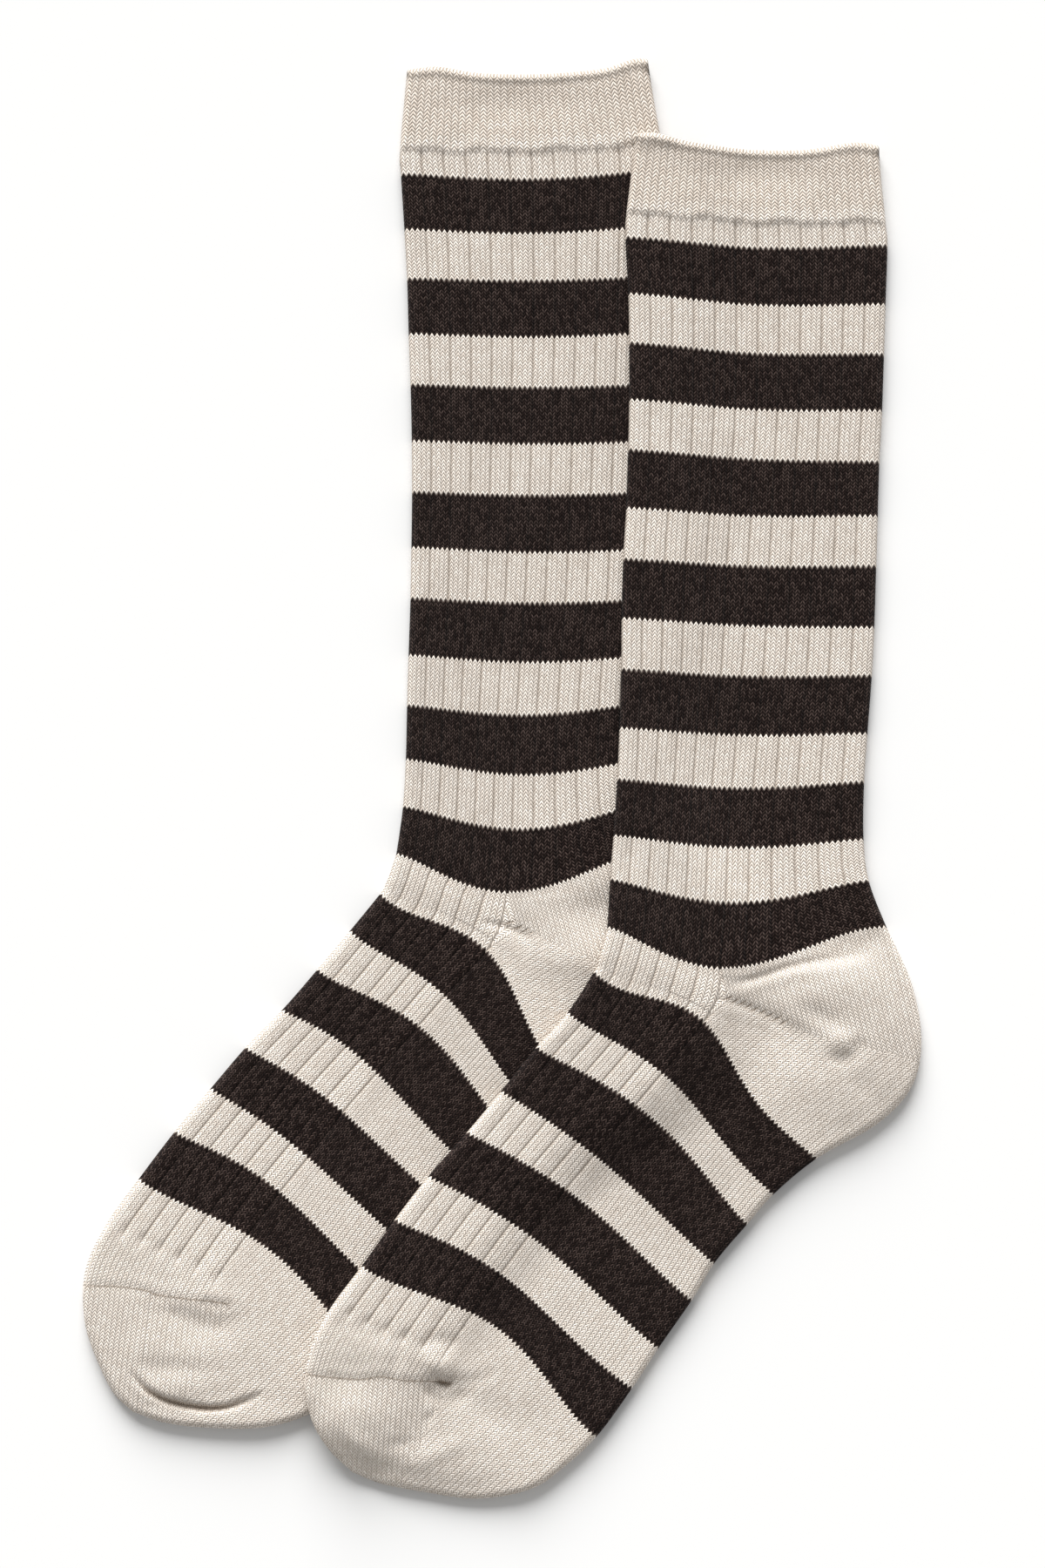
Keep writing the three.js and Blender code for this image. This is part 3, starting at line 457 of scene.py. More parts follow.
class Sock:
    """One sock: its tables, its outline in plan, and the cloth that it lies on."""

    def __init__(self, name, course_rows, fold_rows, crease_rows, seam, tuck, gore_to, rim_rows, below):
        self.name = name
        self.gore_to = gore_to
        self.courses = as_columns(COLUMNS, course_rows)
        self.folds = as_records(FOLD_COLUMNS, fold_rows)
        self.creases = as_records(CREASE_COLUMNS, crease_rows)
        self.seam = curve_through(seam)
        self.tuck = curve_through(tuck)
        self.rim = as_records(RIM_COLUMNS, rim_rows)
        self.last = len(course_rows) - 1
        self.outline = self.outline_points()
        self.cover = below.cover_samples() if below else None

    def outline_points(self):
        """The outline from the front rim round the toe to the back rim."""
        numbers = np.arange(0, self.last + OUTLINE_STEP / 2, OUTLINE_STEP)
        course = course_at(self.courses, numbers)
        x = np.concatenate([course["front_x"], course["back_x"][-2::-1]])
        y = np.concatenate([course["front_y"], course["back_y"][-2::-1]])
        return x, y

    def cover_samples(self):
        """The top of the sock at points spread over its back half, which the other sock covers."""
        numbers = np.arange(0, self.last + COVER_STEP / 2, COVER_STEP)[:, None]
        places = np.linspace(0.5, 1, COVER_STEPS_ACROSS // 2 + 1)[None, :]
        course = course_at(self.courses, numbers)
        x, y = plan_point(course, places)
        raised = np.where(numbers <= WELT_END, CUFF_RAISE, 0)
        off = (places - course["puff_at"]) / PUFF_SPREAD
        top = course["height"] + raised + course["puff"] * np.exp(-off * off)
        return np.ravel(x), np.ravel(y), np.ravel(top)

    def resting_height(self, x, y):
        """Height at which the cloth lies: on the sock below it, sloping down to the ground beside that."""
        if self.cover is None:
            return np.zeros(np.shape(x))
        cover_x, cover_y, cover_top = self.cover
        flat_x = np.ravel(x)
        flat_y = np.ravel(y)
        height = np.empty(len(flat_x))
        for first in range(0, len(flat_x), CHUNK):
            part = slice(first, first + CHUNK)
            squared = (flat_x[part, None] - cover_x) ** 2 + (flat_y[part, None] - cover_y) ** 2
            weight = (squared + DRAPE_BLEND ** 2) ** (-DRAPE_FALLOFF / 2)
            away = np.clip((np.sqrt(squared.min(axis=1)) - DRAPE_REACH) / DRAPE_RUN, 0, 1)
            under = weight @ cover_top / weight.sum(axis=1)
            height[part] = (under + LAYER_GAP) * (1 - smooth(away))
        return height.reshape(np.shape(x))

    def rim_rise(self, number, place):
        rise = np.zeros(np.broadcast(number, place).shape)
        for corner in self.rim:
            rise = rise + corner["rise"] * np.exp(-((place - corner["place"]) / corner["half_width"]) ** 2)
        return rise * (1 - ramp(number, 0, RIM_FADE))

    def points(self, number, wale, side, inset, outwards=0.0):
        """Points of the cloth: side is 1 on top, -1 below and 0 on the edge, inset the depth in the wall."""
        course = course_at(self.courses, number)
        reach = inset / np.maximum(width_of(course), 4 * inset + 1e-6)
        place = reach + place_of_wale(course, wale) * (1 - 2 * reach)
        x, y = plan_point(course, place, outwards + self.rim_rise(number, place))
        raw_distance = nearest_on(x, y, *self.outline)[0]
        distance = np.maximum(raw_distance - inset, 0)
        share = round_share(distance, np.maximum(EDGE_ROUND - inset, LEAST_EDGE_ROUND))
        raised = CUFF_RAISE * (1 - welt_ramp(number, place))
        half_height = (course["height"] + raised) / 2
        middle = self.resting_height(x, y) + half_height
        least = LEAST_HOLLOW / 2
        half = np.maximum((half_height - inset) * share, least)
        level = middle + side * half
        off = (place - course["puff_at"]) / PUFF_SPREAD
        puff = course["puff"] * np.exp(-off * off) * ramp(raw_distance, 0, PUFF_EDGE)
        dents = fold_depth(self.folds, x, y) - crease_lift(self.creases, x, y)
        groove = GROOVE_DEPTH * groove_share(number, wale) + RIB_END_DENT * rib_end(number, wale)
        groove = groove * (inset == 0)
        finish = (cuff_finish(number, place) + RIB_DOME * rib_dome(number, wale)) * (inset == 0)
        lift = puff + share * (finish + lumps(x, y) - dents - groove)
        lowest = middle + least + np.where(inset == 0, LEAST_WALL * share, 0)
        top = np.maximum(level + lift, np.minimum(level, lowest))
        pressed = np.clip(UNDER_SHARE * dents, 0, UNDER_MOST) + UNDER_GROOVE * groove_share(number, wale)
        below = level + share * pressed * (inset == 0)
        z = np.where(side > 0, top, np.where(side < 0, below, middle))
        return x, y, z


def welt_ramp(number, place):
    """The step from the turned cuff, at 0, down to the leg, at 1, which wanders a little across the sock."""
    wander = WELT_WOBBLE * (np.sin(23 * place) + 0.7 * np.sin(41 * place + 2))
    return ramp(number + wander, WELT_END - WELT_STEP, WELT_END + WELT_STEP / 2)


def cuff_finish(number, place):
    """Rise of the cuff's rounded rim band and of the small puckers along its lower end."""
    down = number * CUFF_LENGTH
    band = RIM_BAND_HEIGHT * np.exp(-((down - RIM_BAND_AT) / RIM_BAND_HALF) ** 2)
    line = RIM_LINE_DEPTH * np.exp(-((down - RIM_LINE_AT) / RIM_LINE_HALF) ** 2)
    uneven = np.sin(58 * place + 3 * np.sin(17 * place)) + 0.6 * np.sin(91 * place + 1)
    near_end = np.exp(-((number - WELT_END + WELT_PUCKER_RUN) / WELT_PUCKER_RUN) ** 2)
    return band - line + WELT_PUCKER * uneven * near_end


def ribbed_share(number, wale):
    """1 where the cloth is ribbed: the whole leg, and the instep half as far as the toe."""
    starts = ramp(number, WELT_END, WELT_END + 0.1)
    sole = (wale > 0.5 / RIBS_A_HALF) & (number > LEG_END)
    return starts * (1 - ramp(number, RIBS_END - 0.25, RIBS_END + 0.25)) * np.where(sole, 0, 1)


def groove_share(number, wale):
    """Depth of the groove between two ribs, as a share: 1 at its middle and 0 from its shoulders on."""
    rib = wale * RIBS_A_HALF
    off = (rib - np.round(rib)) / GROOVE_HALF_WIDTH
    inner = np.abs(rib) < RIBS_A_HALF - 0.5
    return np.exp(-off * off) * inner * ribbed_share(number, wale)


def rib_dome(number, wale):
    rib = wale * RIBS_A_HALF
    return ribbed_share(number, wale) * np.sin(math.pi * (rib - np.floor(rib)))


def rib_end(number, wale):
    """The small dent in which each groove of the instep ends on the toe."""
    rib = wale * RIBS_A_HALF
    across = (rib - np.round(rib)) / RIB_END_HALF_WIDTH
    along = (number - RIBS_END) / RIB_END_RUN
    on_instep = (np.abs(rib) < RIBS_A_HALF - 0.5) & (rib < 0.5)
    return np.exp(-across * across - along * along) * on_instep


def course_counts():
    """Knitted courses from the welt end to each row of the table, along the instep."""
    counts = [-CUFF_COURSES, 0, STRIP_COURSES]
    for row in range(3, LEG_END + 1):
        counts.append(counts[-1] + (DARK_COURSES if row % 2 else CREAM_COURSES))
    for _ in range(LEG_END, FOOT_START):
        counts.append(counts[-1] + CREAM_COURSES / (FOOT_START - LEG_END))
    for row in range(FOOT_START + 1, TOE_START + 1):
        counts.append(counts[-1] + (DARK_COURSES if row % 2 else CREAM_COURSES))
    return np.array(counts)


COUNTS = course_counts()


class Line:
    """A line of points in plan, measured in the frame of the straight line between its ends."""

    def __init__(self, x, y, values):
        self.start = (x[0], y[0])
        self.length = math.hypot(x[-1] - x[0], y[-1] - y[0])
        self.run = ((x[-1] - x[0]) / self.length, (y[-1] - y[0]) / self.length)
        self.along, self.offset = self.straight(x, y)
        self.values = values

    def straight(self, x, y):
        reach_x = x - self.start[0]
        reach_y = y - self.start[1]
        along = reach_x * self.run[0] + reach_y * self.run[1]
        right = reach_x * self.run[1] - reach_y * self.run[0]
        return along, right

    def measure(self, x, y):
        """How far points lie to the right of the line, square to its straight one, and its value there."""
        along, right = self.straight(x, y)
        slope = (self.values[-1] - self.values[0]) / self.length
        past = np.maximum(along - self.length, 0) + np.minimum(along, 0)
        value = np.interp(along, self.along, self.values) + past * slope
        return right - np.interp(along, self.along, self.offset), value


def line_of_row(sock, row):
    """A row of the table as a line from the middle wale to the back edge, with the wale as its value."""
    wale = np.linspace(0, 1, CURVE_STEPS)
    course = course_at(sock.courses, np.full(CURVE_STEPS, float(row)))
    return Line(*plan_point(course, place_of_wale(course, wale)), wale)


def line_of_crease(x, y):
    """A crease as a line whose value is the share of its length."""
    length = np.concatenate([[0], np.cumsum(np.hypot(np.diff(x), np.diff(y)))])
    return Line(x, y, length / length[-1])


def stitches(wale):
    """Stitches from the wale that parts instep and sole, below the ankle."""
    return np.where(wale > 0, wale * WALES_SOLE, wale * WALES_RIBBED)


def courses_along(number, x, y):
    """Knitted courses at the outer rings, spread evenly over each stretch of the table along each wale."""
    step = np.hypot(np.diff(x, axis=0), np.diff(y, axis=0))
    length = np.concatenate([np.zeros((1, x.shape[1])), np.cumsum(step, axis=0)])
    rows = np.arange(TOE_START + 1)
    at_rows = np.searchsorted(number[:, 0], rows)
    return np.stack([
        np.interp(length[:, column], length[at_rows, column], COUNTS)
        + np.maximum(length[:, column] - length[at_rows[-1], column], 0) / COURSE_HEIGHT
        for column in range(x.shape[1])
    ], axis=1)


class Charts:
    """Where each corner of a face lies in the knitting: its stitch across and its course along."""

    def __init__(self, sock):
        self.leg_line = line_of_row(sock, LEG_END)
        self.foot_line = line_of_row(sock, FOOT_START)
        self.toe_line = line_of_row(sock, TOE_START)
        self.seam_line = line_of_crease(*sock.seam)
        self.tuck_line = line_of_crease(*sock.tuck)
        self.gore_to = sock.gore_to
        self.seam_stitches = self.seam_line.length / TOE_WALE
        self.pivot_depth = float(self.toe_line.measure(sock.seam[0][-1], sock.seam[1][-1])[0])

    def of_corners(self, number, wale, x, y, course, under):
        """Stitch and course of faces' corners. Each face is on one chart, so charts part sharply."""
        middle_number = number.mean(axis=1, keepdims=True)
        middle_wale = wale.mean(axis=1, keepdims=True)
        stitch = stitches(wale)
        edge = np.full(middle_number.shape, float(WALES_SOLE))

        on_cuff = middle_number < WELT_END
        on_leg = (middle_number < LEG_END) & ~on_cuff
        stitch = np.where(on_cuff, wale * WALES_CUFF, np.where(on_leg, wale * WALES_RIBBED, stitch))
        edge = np.where(on_cuff, WALES_CUFF, np.where(on_leg, WALES_RIBBED, edge))

        past_leg, leg_wale = self.leg_line.measure(x, y)
        past_foot, foot_wale = self.foot_line.measure(x, y)
        in_pocket = (middle_number > LEG_END) & (middle_number < FOOT_START) & (middle_wale > 0)
        nearer_leg = (past_leg + past_foot).mean(axis=1, keepdims=True) < 0
        pocket_course = np.where(
            nearer_leg,
            COUNTS[LEG_END] + past_leg / COURSE_HEIGHT,
            COUNTS[FOOT_START] + past_foot / COURSE_HEIGHT,
        )
        pocket_stitch = stitches(np.where(nearer_leg, leg_wale, foot_wale))
        course = np.where(in_pocket, pocket_course, course)
        stitch = np.where(in_pocket, pocket_stitch, stitch)

        past_toe, toe_wale = self.toe_line.measure(x, y)
        past_seam, seam_share = self.seam_line.measure(x, y)
        on_toe = middle_number > TOE_START
        below_seam = past_seam.mean(axis=1, keepdims=True) > 0
        nearer_seam = (past_seam - past_toe).mean(axis=1, keepdims=True) < -self.pivot_depth
        on_tip = on_toe & below_seam & nearer_seam
        on_sole = on_toe & ~on_tip & (middle_wale > 0)
        course = np.where(on_sole, COUNTS[TOE_START] + past_toe / COURSE_HEIGHT, course)
        stitch = np.where(on_sole, stitches(toe_wale), stitch)
        course = np.where(on_tip, past_seam / COURSE_HEIGHT, course)
        stitch = np.where(on_tip, seam_share * self.seam_stitches, stitch)

        stitch = np.where(under[:, None], 2 * edge - stitch, stitch)
        return stitch, course

    def masks(self, number, wale, x, y):
        """Facts that the material reads at each point, apart from the knitting's own coordinates."""
        past_leg, leg_wale = self.leg_line.measure(x, y)
        past_foot, foot_wale = self.foot_line.measure(x, y)
        in_pocket = (number >= LEG_END) & (number <= FOOT_START) & (wale >= 0)
        pocket = np.where(in_pocket, ramp(np.minimum(past_leg, -past_foot), PLAIN_FROM, PLAIN_FULL), 0)
        toe = ramp(number, TOE_START + 0.15, TOE_START + 0.45)
        cuff = 1 - ramp(number, WELT_END - 0.3, WELT_END - 0.1)
        off_instep = (number > LEG_END) & (wale > GORE_FROM)

        gore_on = in_pocket * ramp(wale, GORE_FROM, GORE_FROM + 0.03)
        gore_on = gore_on * (1 - ramp(wale, self.gore_to, self.gore_to + 0.08))
        seam_off, seam_share = self.seam_line.measure(x, y)
        tuck_off, tuck_share = self.tuck_line.measure(x, y)
        seam_on = ramp(seam_share, -0.02, 0.1) * (1 - ramp(seam_share, 0.97, 1.02)) * (number > TOE_START)
        tuck_on = ramp(tuck_share, 0.0, 0.3) * (1 - ramp(tuck_share, 0.6, 1.0)) * (number > TOE_START)
        return {
            "plain": np.maximum(np.maximum(pocket, toe), cuff),
            "on_cuff": cuff,
            "ribbed": ribbed_share(number, wale) * ~off_instep,
            "gore_off": (past_leg + past_foot) / 2,
            "gore_along": stitches((leg_wale + foot_wale) / 2),
            "gore_on": gore_on,
            "seam_off": seam_off,
            "seam_on": seam_on,
            "tuck_off": tuck_off,
            "tuck_on": tuck_on,
        }


def top_wales():
    """Wales of the points across the top, from the front edge to the back edge."""
    front = [-RIBS_A_HALF + step for step in EDGE_STEPS]
    ribs = [rib + step for rib in range(1 - RIBS_A_HALF, RIBS_A_HALF - 1) for step in TOP_STEPS]
    back = [RIBS_A_HALF - 1] + [RIBS_A_HALF - step for step in reversed(EDGE_STEPS)]
    return np.array(front + ribs + back) / RIBS_A_HALF


def under_wales():
    """Wales of the points across the underside, from the back edge to the front edge."""
    front = [-RIBS_A_HALF + step for step in UNDER_EDGE_STEPS]
    ribs = [rib + step for rib in range(1 - RIBS_A_HALF, RIBS_A_HALF - 1) for step in UNDER_STEPS]
    back = [RIBS_A_HALF - 1] + [RIBS_A_HALF - step for step in reversed(UNDER_EDGE_STEPS)]
    return np.array(front + ribs + back)[::-1] / RIBS_A_HALF


def row_numbers(last):
    """Numbers along the sock of its rows of points, from the rim to just before the tip."""
    numbers = []
    for row in range(last):
        if row < WELT_END:
            steps = CUFF_ROWS
        elif row < LEG_END:
            steps = LEG_ROWS
        elif row < FOOT_START:
            steps = HEEL_ROWS
        elif row < TOE_START:
            steps = FOOT_ROWS
        else:
            steps = TOE_ROWS
        numbers += [row + step / steps for step in range(steps)]
    return np.array(numbers)


def wall_at(number):
    """Thickness of the wall, which thins from the turned cuff to the leg and again on the toe."""
    rows = [0, WELT_END - 0.1, WELT_END + 0.1, TOE_START, TOE_START + 1]
    return np.interp(number, rows, [WALL_CUFF, WALL_CUFF, WALL_RIBBED, WALL_RIBBED, WALL_PLAIN])


def cloth_rings(sock):
    """Rings of points from inside the toe up to the mouth, over the rolled rim and down to the toe."""
    wale = np.concatenate([top_wales(), under_wales()])[None, :]
    side = np.concatenate([np.ones(len(top_wales())), -np.ones(len(under_wales()))])[None, :]
    side[0, 0] = 0
    side[0, len(top_wales()) - 1] = 0
    outer = row_numbers(sock.last)[:, None]
    inner = outer[outer[:, 0] <= HOLLOW_END][::INNER_EVERY][::-1]
    rolls = np.radians(ROLL_ANGLES)[::-1, None]
    rim_inset = WALL_CUFF / 2 * (1 - np.cos(rolls))
    rim_out = WALL_CUFF / 2 * np.sin(rolls)
    number = np.concatenate([inner, np.zeros((len(rolls), 1)), outer])
    inset = np.concatenate([wall_at(inner), rim_inset, np.zeros((len(outer), 1))])
    outwards = np.concatenate([np.zeros((len(inner), 1)), rim_out, np.zeros((len(outer), 1))])
    x, y, z = sock.points(number, wale, side, inset, outwards)
    number = np.broadcast_to(number, x.shape)
    wale = np.broadcast_to(wale, x.shape)
    return number, wale, x, y, z


def ring_faces(ring_count, ring_size):
    """Quads between neighbouring rings, facing out."""
    ring = np.arange(ring_count - 1)[:, None] * ring_size
    this = np.arange(ring_size)[None, :]
    following = (this + 1) % ring_size
    quads = [ring + this, ring + ring_size + this, ring + ring_size + following, ring + following]
    return np.stack(quads, axis=-1).reshape(-1, 4)


def tip_faces(tip, ring_start, ring_size, flip):
    this = ring_start + np.arange(ring_size)
    following = ring_start + (np.arange(ring_size) + 1) % ring_size
    tips = np.full(ring_size, tip)
    order = [this, tips, following] if flip else [tips, this, following]
    return np.stack(order, axis=-1)


def corner_facts(values, tips, faces):
    """Values of points at the corners of faces, with the tips' values added after the rings'."""
    return np.concatenate([np.ravel(values), tips])[faces]


def sock_mesh(sock):
    """The sock's cloth as one closed mesh, with its knitting's coordinates and masks."""
    number, wale, x, y, z = cloth_rings(sock)
    rings, size = x.shape
    tip = course_at(sock.courses, np.array([float(sock.last)]))
    tip_x = float(tip["front_x"][0])
    tip_y = float(tip["front_y"][0])
    tip_z = float(z[-1].mean())
    tips = {
        "x": [float(x[0].mean()), tip_x],
        "y": [float(y[0].mean()), tip_y],
        "z": [float(z[0].mean()), tip_z],
        "number": [float(number[0, 0]), float(sock.last)],
        "wale": [0.0, 0.0],
    }
    points = np.stack([
        np.concatenate([np.ravel(x), tips["x"]]) - PLAN_CENTRE[0],
        np.concatenate([np.ravel(y), tips["y"]]) - PLAN_CENTRE[1],
        np.concatenate([np.ravel(z), tips["z"]]),
    ], axis=-1) * MM
    quads = ring_faces(rings, size)
    first_tip = rings * size
    start_cap = tip_faces(first_tip, 0, size, False)
    end_cap = tip_faces(first_tip + 1, (rings - 1) * size, size, True)
    faces = quads.tolist() + start_cap.tolist() + end_cap.tolist()

    mesh = bpy.data.meshes.new(sock.name)
    mesh.from_pydata(points.tolist(), [], faces)
    mesh.shade_smooth()

    top_count = len(top_wales())
    column = np.arange(size)
    under_column = column >= top_count - 1
    under_quads = np.tile(under_column, rings - 1)
    outer_rings = len(row_numbers(sock.last))
    course = np.interp(number, np.arange(len(COUNTS)), COUNTS)
    course[-outer_rings:] = courses_along(number[-outer_rings:], x[-outer_rings:], y[-outer_rings:])
    tips["course"] = [float(course[0].mean()), float(course[-1].mean())]
    charts = Charts(sock)
    coordinates = []
    for block, under in ((quads, under_quads), (start_cap, under_column), (end_cap, under_column)):
        named = (("number", number), ("wale", wale), ("x", x), ("y", y), ("course", course))
        facts = [corner_facts(values, tips[name], block) for name, values in named]
        stitch, knitted = charts.of_corners(*facts, under)
        coordinates.append(np.stack([stitch, knitted], axis=-1).reshape(-1, 2))
    layer = mesh.uv_layers.new(name="knit")
    layer.data.foreach_set("uv", np.concatenate(coordinates).astype(np.float32).ravel())

    for name, values in charts.masks(number, wale, x, y).items():
        attribute = mesh.attributes.new(name, "FLOAT", "POINT")
        filled = np.concatenate([np.ravel(values), values[0, :1], values[-1, :1]])
        attribute.data.foreach_set("value", filled.astype(np.float32))
    mesh.validate()
    return mesh


# Yarn colours, in linear light
CREAM_YARN = (0.855, 0.782, 0.703, 1.0)
DARK_YARN = (0.0085, 0.0038, 0.0030, 1.0)
FLECK_YARN = (0.095, 0.066, 0.056, 1.0)

# The stitches: how many courses a stitch's legs slant, how far its yarn wanders, how soft a stripe's edge
# is, how much the legs differ in lightness, and how many of the dark ones show a light fleck
STITCH_SLANT = 1.05
YARN_WANDER = 0.26
STRIPE_BLUR = 0.12
LEG_SPREAD = 0.22
FLECK_LEAST = 0.4
FLECK_FROM = 0.25
FLECK_FULL = 0.9
FLECK_SHARE = 0.75
TONE_SPREAD = 0.05

# How much shade is painted into the colour between yarns, on the looser cuff, between wales and in the grooves
# between ribs, how much warmer that painted shade is, and how deep they are as shares of the stitch's own relief
YARN_SHADE = 0.36
CUFF_SHADE = 0.14
WALE_SHADE = 0.08
WALE_DIP = 0.12
GROOVE_SHADE = 0.18
GROOVE_REACH = 0.5
GROOVE_DIP = 0.4
WARMTH = 0.14
LEG_DIP = 0.55
FUZZ = 0.35
STITCH_RELIEF = 0.0004

# The gore's row of slits: their pitch and width in stitches, slant and length in millimetres, the shade painted into
# them, and their dip
SLIT_PITCH = 1.4
SLIT_WIDTH = 0.34
SLIT_SLANT = 0.55
SLIT_LENGTH = 1.8
SLIT_SHADE = 0.55
SLIT_DIP = 0.8

# The toe's linked seam and the tuck below it, in millimetres, and the shade painted along each
SEAM_HALF_WIDTH = 0.6
SEAM_SHADE = 0.36
TUCK_HALF_WIDTH = 1.5
TUCK_SHADE = 0.55

ROUGHNESS = 0.95
SPECULAR_LEVEL = 0.06
SHEEN_WEIGHT = 0.03
SHEEN_ROUGHNESS = 0.6

# Sockets of Blender's mix node that hold colours
MIX_FIRST = 6
MIX_SECOND = 7
MIX_RESULT = 2


class Nodes:
    """Short calls that add nodes to a material's tree and join them."""

    def __init__(self, tree):
        self.tree = tree

    def add(self, kind, inputs=None, **settings):
        node = self.tree.nodes.new(kind)
        for name, value in settings.items():
            setattr(node, name, value)
        for name, value in (inputs or {}).items():
            self.put(node.inputs[name], value)
        return node

    def put(self, socket, value):
        if isinstance(value, bpy.types.NodeSocket):
            self.tree.links.new(value, socket)
        else:
            socket.default_value = value

    def math(self, operation, *values):
        node = self.tree.nodes.new("ShaderNodeMath")
        node.operation = operation
        for socket, value in zip(node.inputs, values):
            self.put(socket, value)
        return node.outputs[0]

    def rise(self, value, low, high, start=0.0, end=1.0):
        inputs = {"Value": value, "From Min": low, "From Max": high, "To Min": start, "To Max": end}
        return self.add("ShaderNodeMapRange", inputs, interpolation_type="SMOOTHSTEP").outputs[0]

    def mix(self, share, first, second, blend="MIX"):
        node = self.tree.nodes.new("ShaderNodeMix")
        node.data_type = "RGBA"
        node.blend_type = blend
        self.put(node.inputs["Factor"], share)
        self.put(node.inputs[MIX_FIRST], first)
        self.put(node.inputs[MIX_SECOND], second)
        return node.outputs[MIX_RESULT]

    def attribute(self, name):
        return self.add("ShaderNodeAttribute", attribute_name=name).outputs["Fac"]

    def noise(self, vector, scale, detail=2.0):
        inputs = {"Vector": vector, "Scale": scale, "Detail": detail}
        return self.add("ShaderNodeTexNoise", inputs).outputs["Fac"]

    def less(self, share, amount):
        """What is left of 1 after a share of an amount is taken off."""
        return self.math("SUBTRACT", 1.0, self.math("MULTIPLY", share, amount))

    def product(self, *values):
        result = values[0]
        for value in values[1:]:
            result = self.math("MULTIPLY", result, value)
        return result

    def nearness(self, distance, reach):
        """1 on a line and 0 from a reach to either side of it."""
        return self.rise(self.math("ABSOLUTE", distance), 0.0, reach, 1.0, 0.0)


def stripe_share(nodes, yarn):
    """1 in a dark stripe: courses are counted from the middle of the first one, and repeat."""
    repeat = DARK_COURSES + CREAM_COURSES
    first_middle = STRIP_COURSES + DARK_COURSES / 2
    half = DARK_COURSES / 2
    turns = nodes.math("DIVIDE", nodes.math("SUBTRACT", yarn, first_middle), repeat)
    wrapped = nodes.math("SUBTRACT", nodes.math("FRACT", nodes.math("ADD", turns, 0.5)), 0.5)
    away = nodes.math("MULTIPLY", nodes.math("ABSOLUTE", wrapped), repeat)
    return nodes.rise(away, half - STRIPE_BLUR, half + STRIPE_BLUR, 1.0, 0.0)


def groove_between_ribs(nodes, stitch):
    rib = nodes.math("DIVIDE", stitch, float(WALES_A_RIB))
    to_groove = nodes.math("SUBTRACT", rib, nodes.math("ROUND", rib))
    off = nodes.math("MULTIPLY", to_groove, float(WALES_A_RIB))
    return nodes.product(nodes.nearness(off, GROOVE_REACH), nodes.attribute("ribbed"))


def gore_slits(nodes):
    """The row of small slanting slits where the heel's two halves are knitted together."""
    off = nodes.attribute("gore_off")
    along = nodes.math("ADD", nodes.attribute("gore_along"), nodes.math("MULTIPLY", off, SLIT_SLANT))
    turns = nodes.math("DIVIDE", along, SLIT_PITCH)
    from_slit = nodes.math("SUBTRACT", turns, nodes.math("ROUND", turns))
    narrow = nodes.nearness(from_slit, SLIT_WIDTH / SLIT_PITCH)
    return nodes.product(narrow, nodes.nearness(off, SLIT_LENGTH), nodes.attribute("gore_on"))


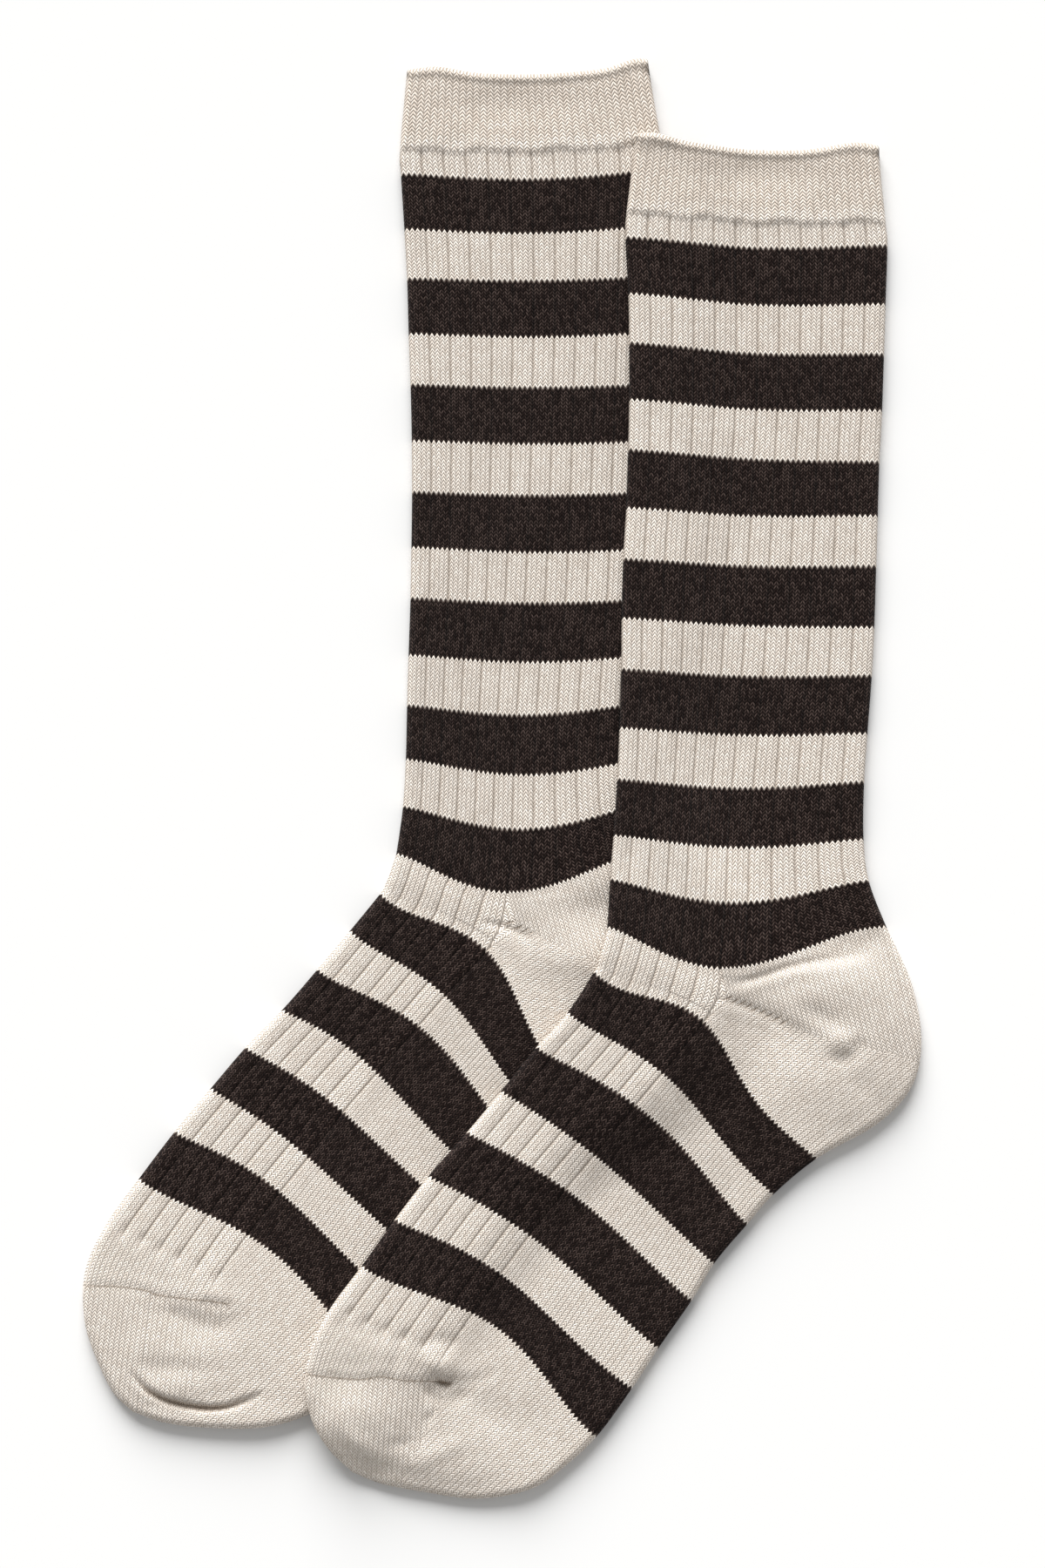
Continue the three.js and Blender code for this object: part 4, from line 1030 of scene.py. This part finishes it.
def knit_material():
    """Knitted cotton: stripes that end in teeth, stitches, ribs, the heel's gore and the toe's seam."""
    material = bpy.data.materials.new("knitted_cotton")
    material.use_nodes = True
    nodes = Nodes(material.node_tree)
    shader = material.node_tree.nodes["Principled BSDF"]

    knit = nodes.add("ShaderNodeUVMap", uv_map="knit").outputs["UV"]
    across = nodes.add("ShaderNodeSeparateXYZ", {"Vector": knit})
    stitch = across.outputs["X"]
    course = across.outputs["Y"]
    place = nodes.add("ShaderNodeTexCoord").outputs["Object"]

    # The course that a yarn belongs to: its two legs slant down from the middle of each wale
    wander = nodes.math("MULTIPLY", nodes.math("SUBTRACT", nodes.noise(knit, 1.3), 0.5), YARN_WANDER)
    leg = nodes.math("ABSOLUTE", nodes.math("MULTIPLY_ADD", nodes.math("FRACT", stitch), 2.0, -1.0))
    slant = nodes.math("MULTIPLY", leg, STITCH_SLANT)
    yarn = nodes.math("ADD", nodes.math("SUBTRACT", course, slant), wander)

    # Each leg of a stitch has its own lightness
    leg_number = nodes.math("FLOOR", nodes.math("MULTIPLY", stitch, 2.0))
    leg_cell = nodes.add("ShaderNodeCombineXYZ", {"X": leg_number, "Y": nodes.math("FLOOR", yarn)})
    chance = nodes.add("ShaderNodeTexWhiteNoise", {"Vector": leg_cell.outputs[0]}).outputs["Value"]

    # Relief of the stitches: round yarns, legs that dip at both ends, and gaps between the wales
    across_yarn = nodes.math("MULTIPLY_ADD", nodes.math("FRACT", yarn), 2.0, -1.0)
    yarn_round = nodes.math("SUBTRACT", 1.0, nodes.math("POWER", nodes.math("ABSOLUTE", across_yarn), 2.0))
    leg_round = nodes.math("MULTIPLY", nodes.product(leg, nodes.math("SUBTRACT", 1.0, leg)), 4.0)
    leg_height = nodes.math("MULTIPLY_ADD", leg_round, LEG_DIP, 1.0 - LEG_DIP)
    relief = nodes.product(yarn_round, leg_height)
    between = nodes.rise(leg, 0.72, 1.0)
    groove = groove_between_ribs(nodes, stitch)
    slits = gore_slits(nodes)
    seam = nodes.product(nodes.nearness(nodes.attribute("seam_off"), SEAM_HALF_WIDTH), nodes.attribute("seam_on"))
    tuck = nodes.product(nodes.nearness(nodes.attribute("tuck_off"), TUCK_HALF_WIDTH), nodes.attribute("tuck_on"))

    # Colour: heathered yarn, with shade painted in where light doesn't reach
    fine = nodes.noise(place, 2600.0, 3.0)
    broad = nodes.noise(place, 26.0, 2.0)
    striped = nodes.math("LESS_THAN", nodes.attribute("plain"), 0.5)
    dark = nodes.product(stripe_share(nodes, yarn), striped)
    lit_yarn = nodes.product(relief, nodes.math("MULTIPLY_ADD", chance, 1.0 - FLECK_LEAST, FLECK_LEAST))
    fleck = nodes.rise(lit_yarn, FLECK_FROM, FLECK_FULL, 0.0, FLECK_SHARE)
    colour = nodes.mix(dark, CREAM_YARN, nodes.mix(fleck, DARK_YARN, FLECK_YARN))
    # Painted shade between yarns and wales, on the cuff, in the grooves, the gore's slits, the seam and the tuck,
    # times each leg's own lightness and the yarn's random tone
    light = nodes.product(
        nodes.rise(relief, 0.0, 0.75, 1.0 - YARN_SHADE, 1.0),
        nodes.less(between, WALE_SHADE),
        nodes.less(nodes.attribute("on_cuff"), CUFF_SHADE),
        nodes.less(groove, GROOVE_SHADE),
        nodes.less(slits, SLIT_SHADE),
        nodes.less(seam, SEAM_SHADE),
        nodes.less(tuck, TUCK_SHADE),
        nodes.math("MULTIPLY_ADD", chance, LEG_SPREAD, 1.0 - LEG_SPREAD / 2),
        nodes.math("MULTIPLY_ADD", nodes.math("ADD", fine, broad), TONE_SPREAD, 1.0 - TONE_SPREAD),
    )
    # The painted shade is warmer than grey: red falls off less and blue more
    shade = nodes.add("ShaderNodeCombineColor", {
        "Red": nodes.math("POWER", light, 1.0 - WARMTH),
        "Green": light,
        "Blue": nodes.math("POWER", light, 1.0 + WARMTH),
    }).outputs[0]
    nodes.put(shader.inputs["Base Color"], nodes.mix(1.0, colour, shade, "MULTIPLY"))

    height = nodes.math("MULTIPLY_ADD", fine, FUZZ, relief)
    for dip, depth in ((between, WALE_DIP), (groove, GROOVE_DIP), (slits, SLIT_DIP)):
        height = nodes.math("SUBTRACT", height, nodes.math("MULTIPLY", dip, depth))
    bump = nodes.add("ShaderNodeBump", {"Height": height, "Distance": STITCH_RELIEF})
    nodes.put(shader.inputs["Normal"], bump.outputs["Normal"])
    shader.inputs["Roughness"].default_value = ROUGHNESS
    shader.inputs["Specular IOR Level"].default_value = SPECULAR_LEVEL
    shader.inputs["Sheen Weight"].default_value = SHEEN_WEIGHT
    shader.inputs["Sheen Roughness"].default_value = SHEEN_ROUGHNESS
    return material


# The camera looks straight down on the middle of the photograph, which is this far from the origin
CAMERA_CENTRE = (0.0063, 0.0)
CAMERA_HEIGHT = 1.406
CAMERA_LENS = 100
CAMERA_SENSOR = 36

# Broad, low light from beyond the cuffs, a pale sky that fills the shadows, and the pale ground
KEY_FROM = (-0.16, 1.2, 0.64)
KEY_SPREAD = math.radians(42)
KEY_STRENGTH = 5.75
SKY_STRENGTH = 0.42
GROUND_SIZE = 16.0
GROUND_TONE = (0.785, 0.783, 0.776, 1.0)


def make_camera():
    data = bpy.data.cameras.new("camera")
    data.lens = CAMERA_LENS
    data.sensor_width = CAMERA_SENSOR
    data.clip_start = 0.01
    camera = bpy.data.objects.new("camera", data)
    camera.location = (*CAMERA_CENTRE, CAMERA_HEIGHT)
    bpy.context.scene.collection.objects.link(camera)
    bpy.context.scene.camera = camera


def make_key():
    data = bpy.data.lights.new("key", "SUN")
    data.energy = KEY_STRENGTH
    data.angle = KEY_SPREAD
    light = bpy.data.objects.new("key", data)
    light.location = KEY_FROM
    towards = -light.location
    light.rotation_euler = towards.to_track_quat("-Z", "Y").to_euler()
    bpy.context.scene.collection.objects.link(light)


def make_ground():
    bpy.ops.object.select_all(action="DESELECT")
    bpy.ops.mesh.primitive_plane_add(size=GROUND_SIZE, location=(0, 0, 0))
    ground = bpy.context.object
    ground.name = "ground"
    material = bpy.data.materials.new("pale_ground")
    material.use_nodes = True
    shader = material.node_tree.nodes["Principled BSDF"]
    shader.inputs["Base Color"].default_value = GROUND_TONE
    shader.inputs["Roughness"].default_value = 0.9
    shader.inputs["Specular IOR Level"].default_value = 0.1
    ground.data.materials.append(material)


def make_sky():
    world = bpy.data.worlds.new("soft_sky")
    world.use_nodes = True
    background = world.node_tree.nodes["Background"]
    background.inputs["Color"].default_value = (1, 1, 1, 1)
    background.inputs["Strength"].default_value = SKY_STRENGTH
    bpy.context.scene.world = world


def make_sock(sock, material):
    piece = bpy.data.objects.new(sock.name, sock_mesh(sock))
    bpy.context.scene.collection.objects.link(piece)
    piece.data.materials.append(material)
    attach(piece, "root")
    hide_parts(*(f"{sock.name}_{part}" for part in ("cuff", "leg", "heel", "foot", "toe")))
    return piece


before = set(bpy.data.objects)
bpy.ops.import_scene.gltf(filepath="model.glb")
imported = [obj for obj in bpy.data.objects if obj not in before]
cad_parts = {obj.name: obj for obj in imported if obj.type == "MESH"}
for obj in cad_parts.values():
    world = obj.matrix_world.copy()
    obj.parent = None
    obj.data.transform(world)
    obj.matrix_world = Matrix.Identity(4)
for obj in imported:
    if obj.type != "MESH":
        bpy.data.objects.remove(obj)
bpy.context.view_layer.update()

make_camera()
make_sky()
make_key()
make_ground()

lower = Sock(
    "lower_sock", LOWER_COURSES, LOWER_FOLDS, LOWER_CREASES,
    LOWER_SEAM, LOWER_TUCK, LOWER_GORE_TO, LOWER_RIM, None,
)
upper = Sock(
    "upper_sock", UPPER_COURSES, UPPER_FOLDS, UPPER_CREASES,
    UPPER_SEAM, UPPER_TUCK, UPPER_GORE_TO, UPPER_RIM, lower,
)
cotton = knit_material()
make_sock(lower, cotton)
make_sock(upper, cotton)

bpy.context.scene.view_settings.view_transform = "Standard"
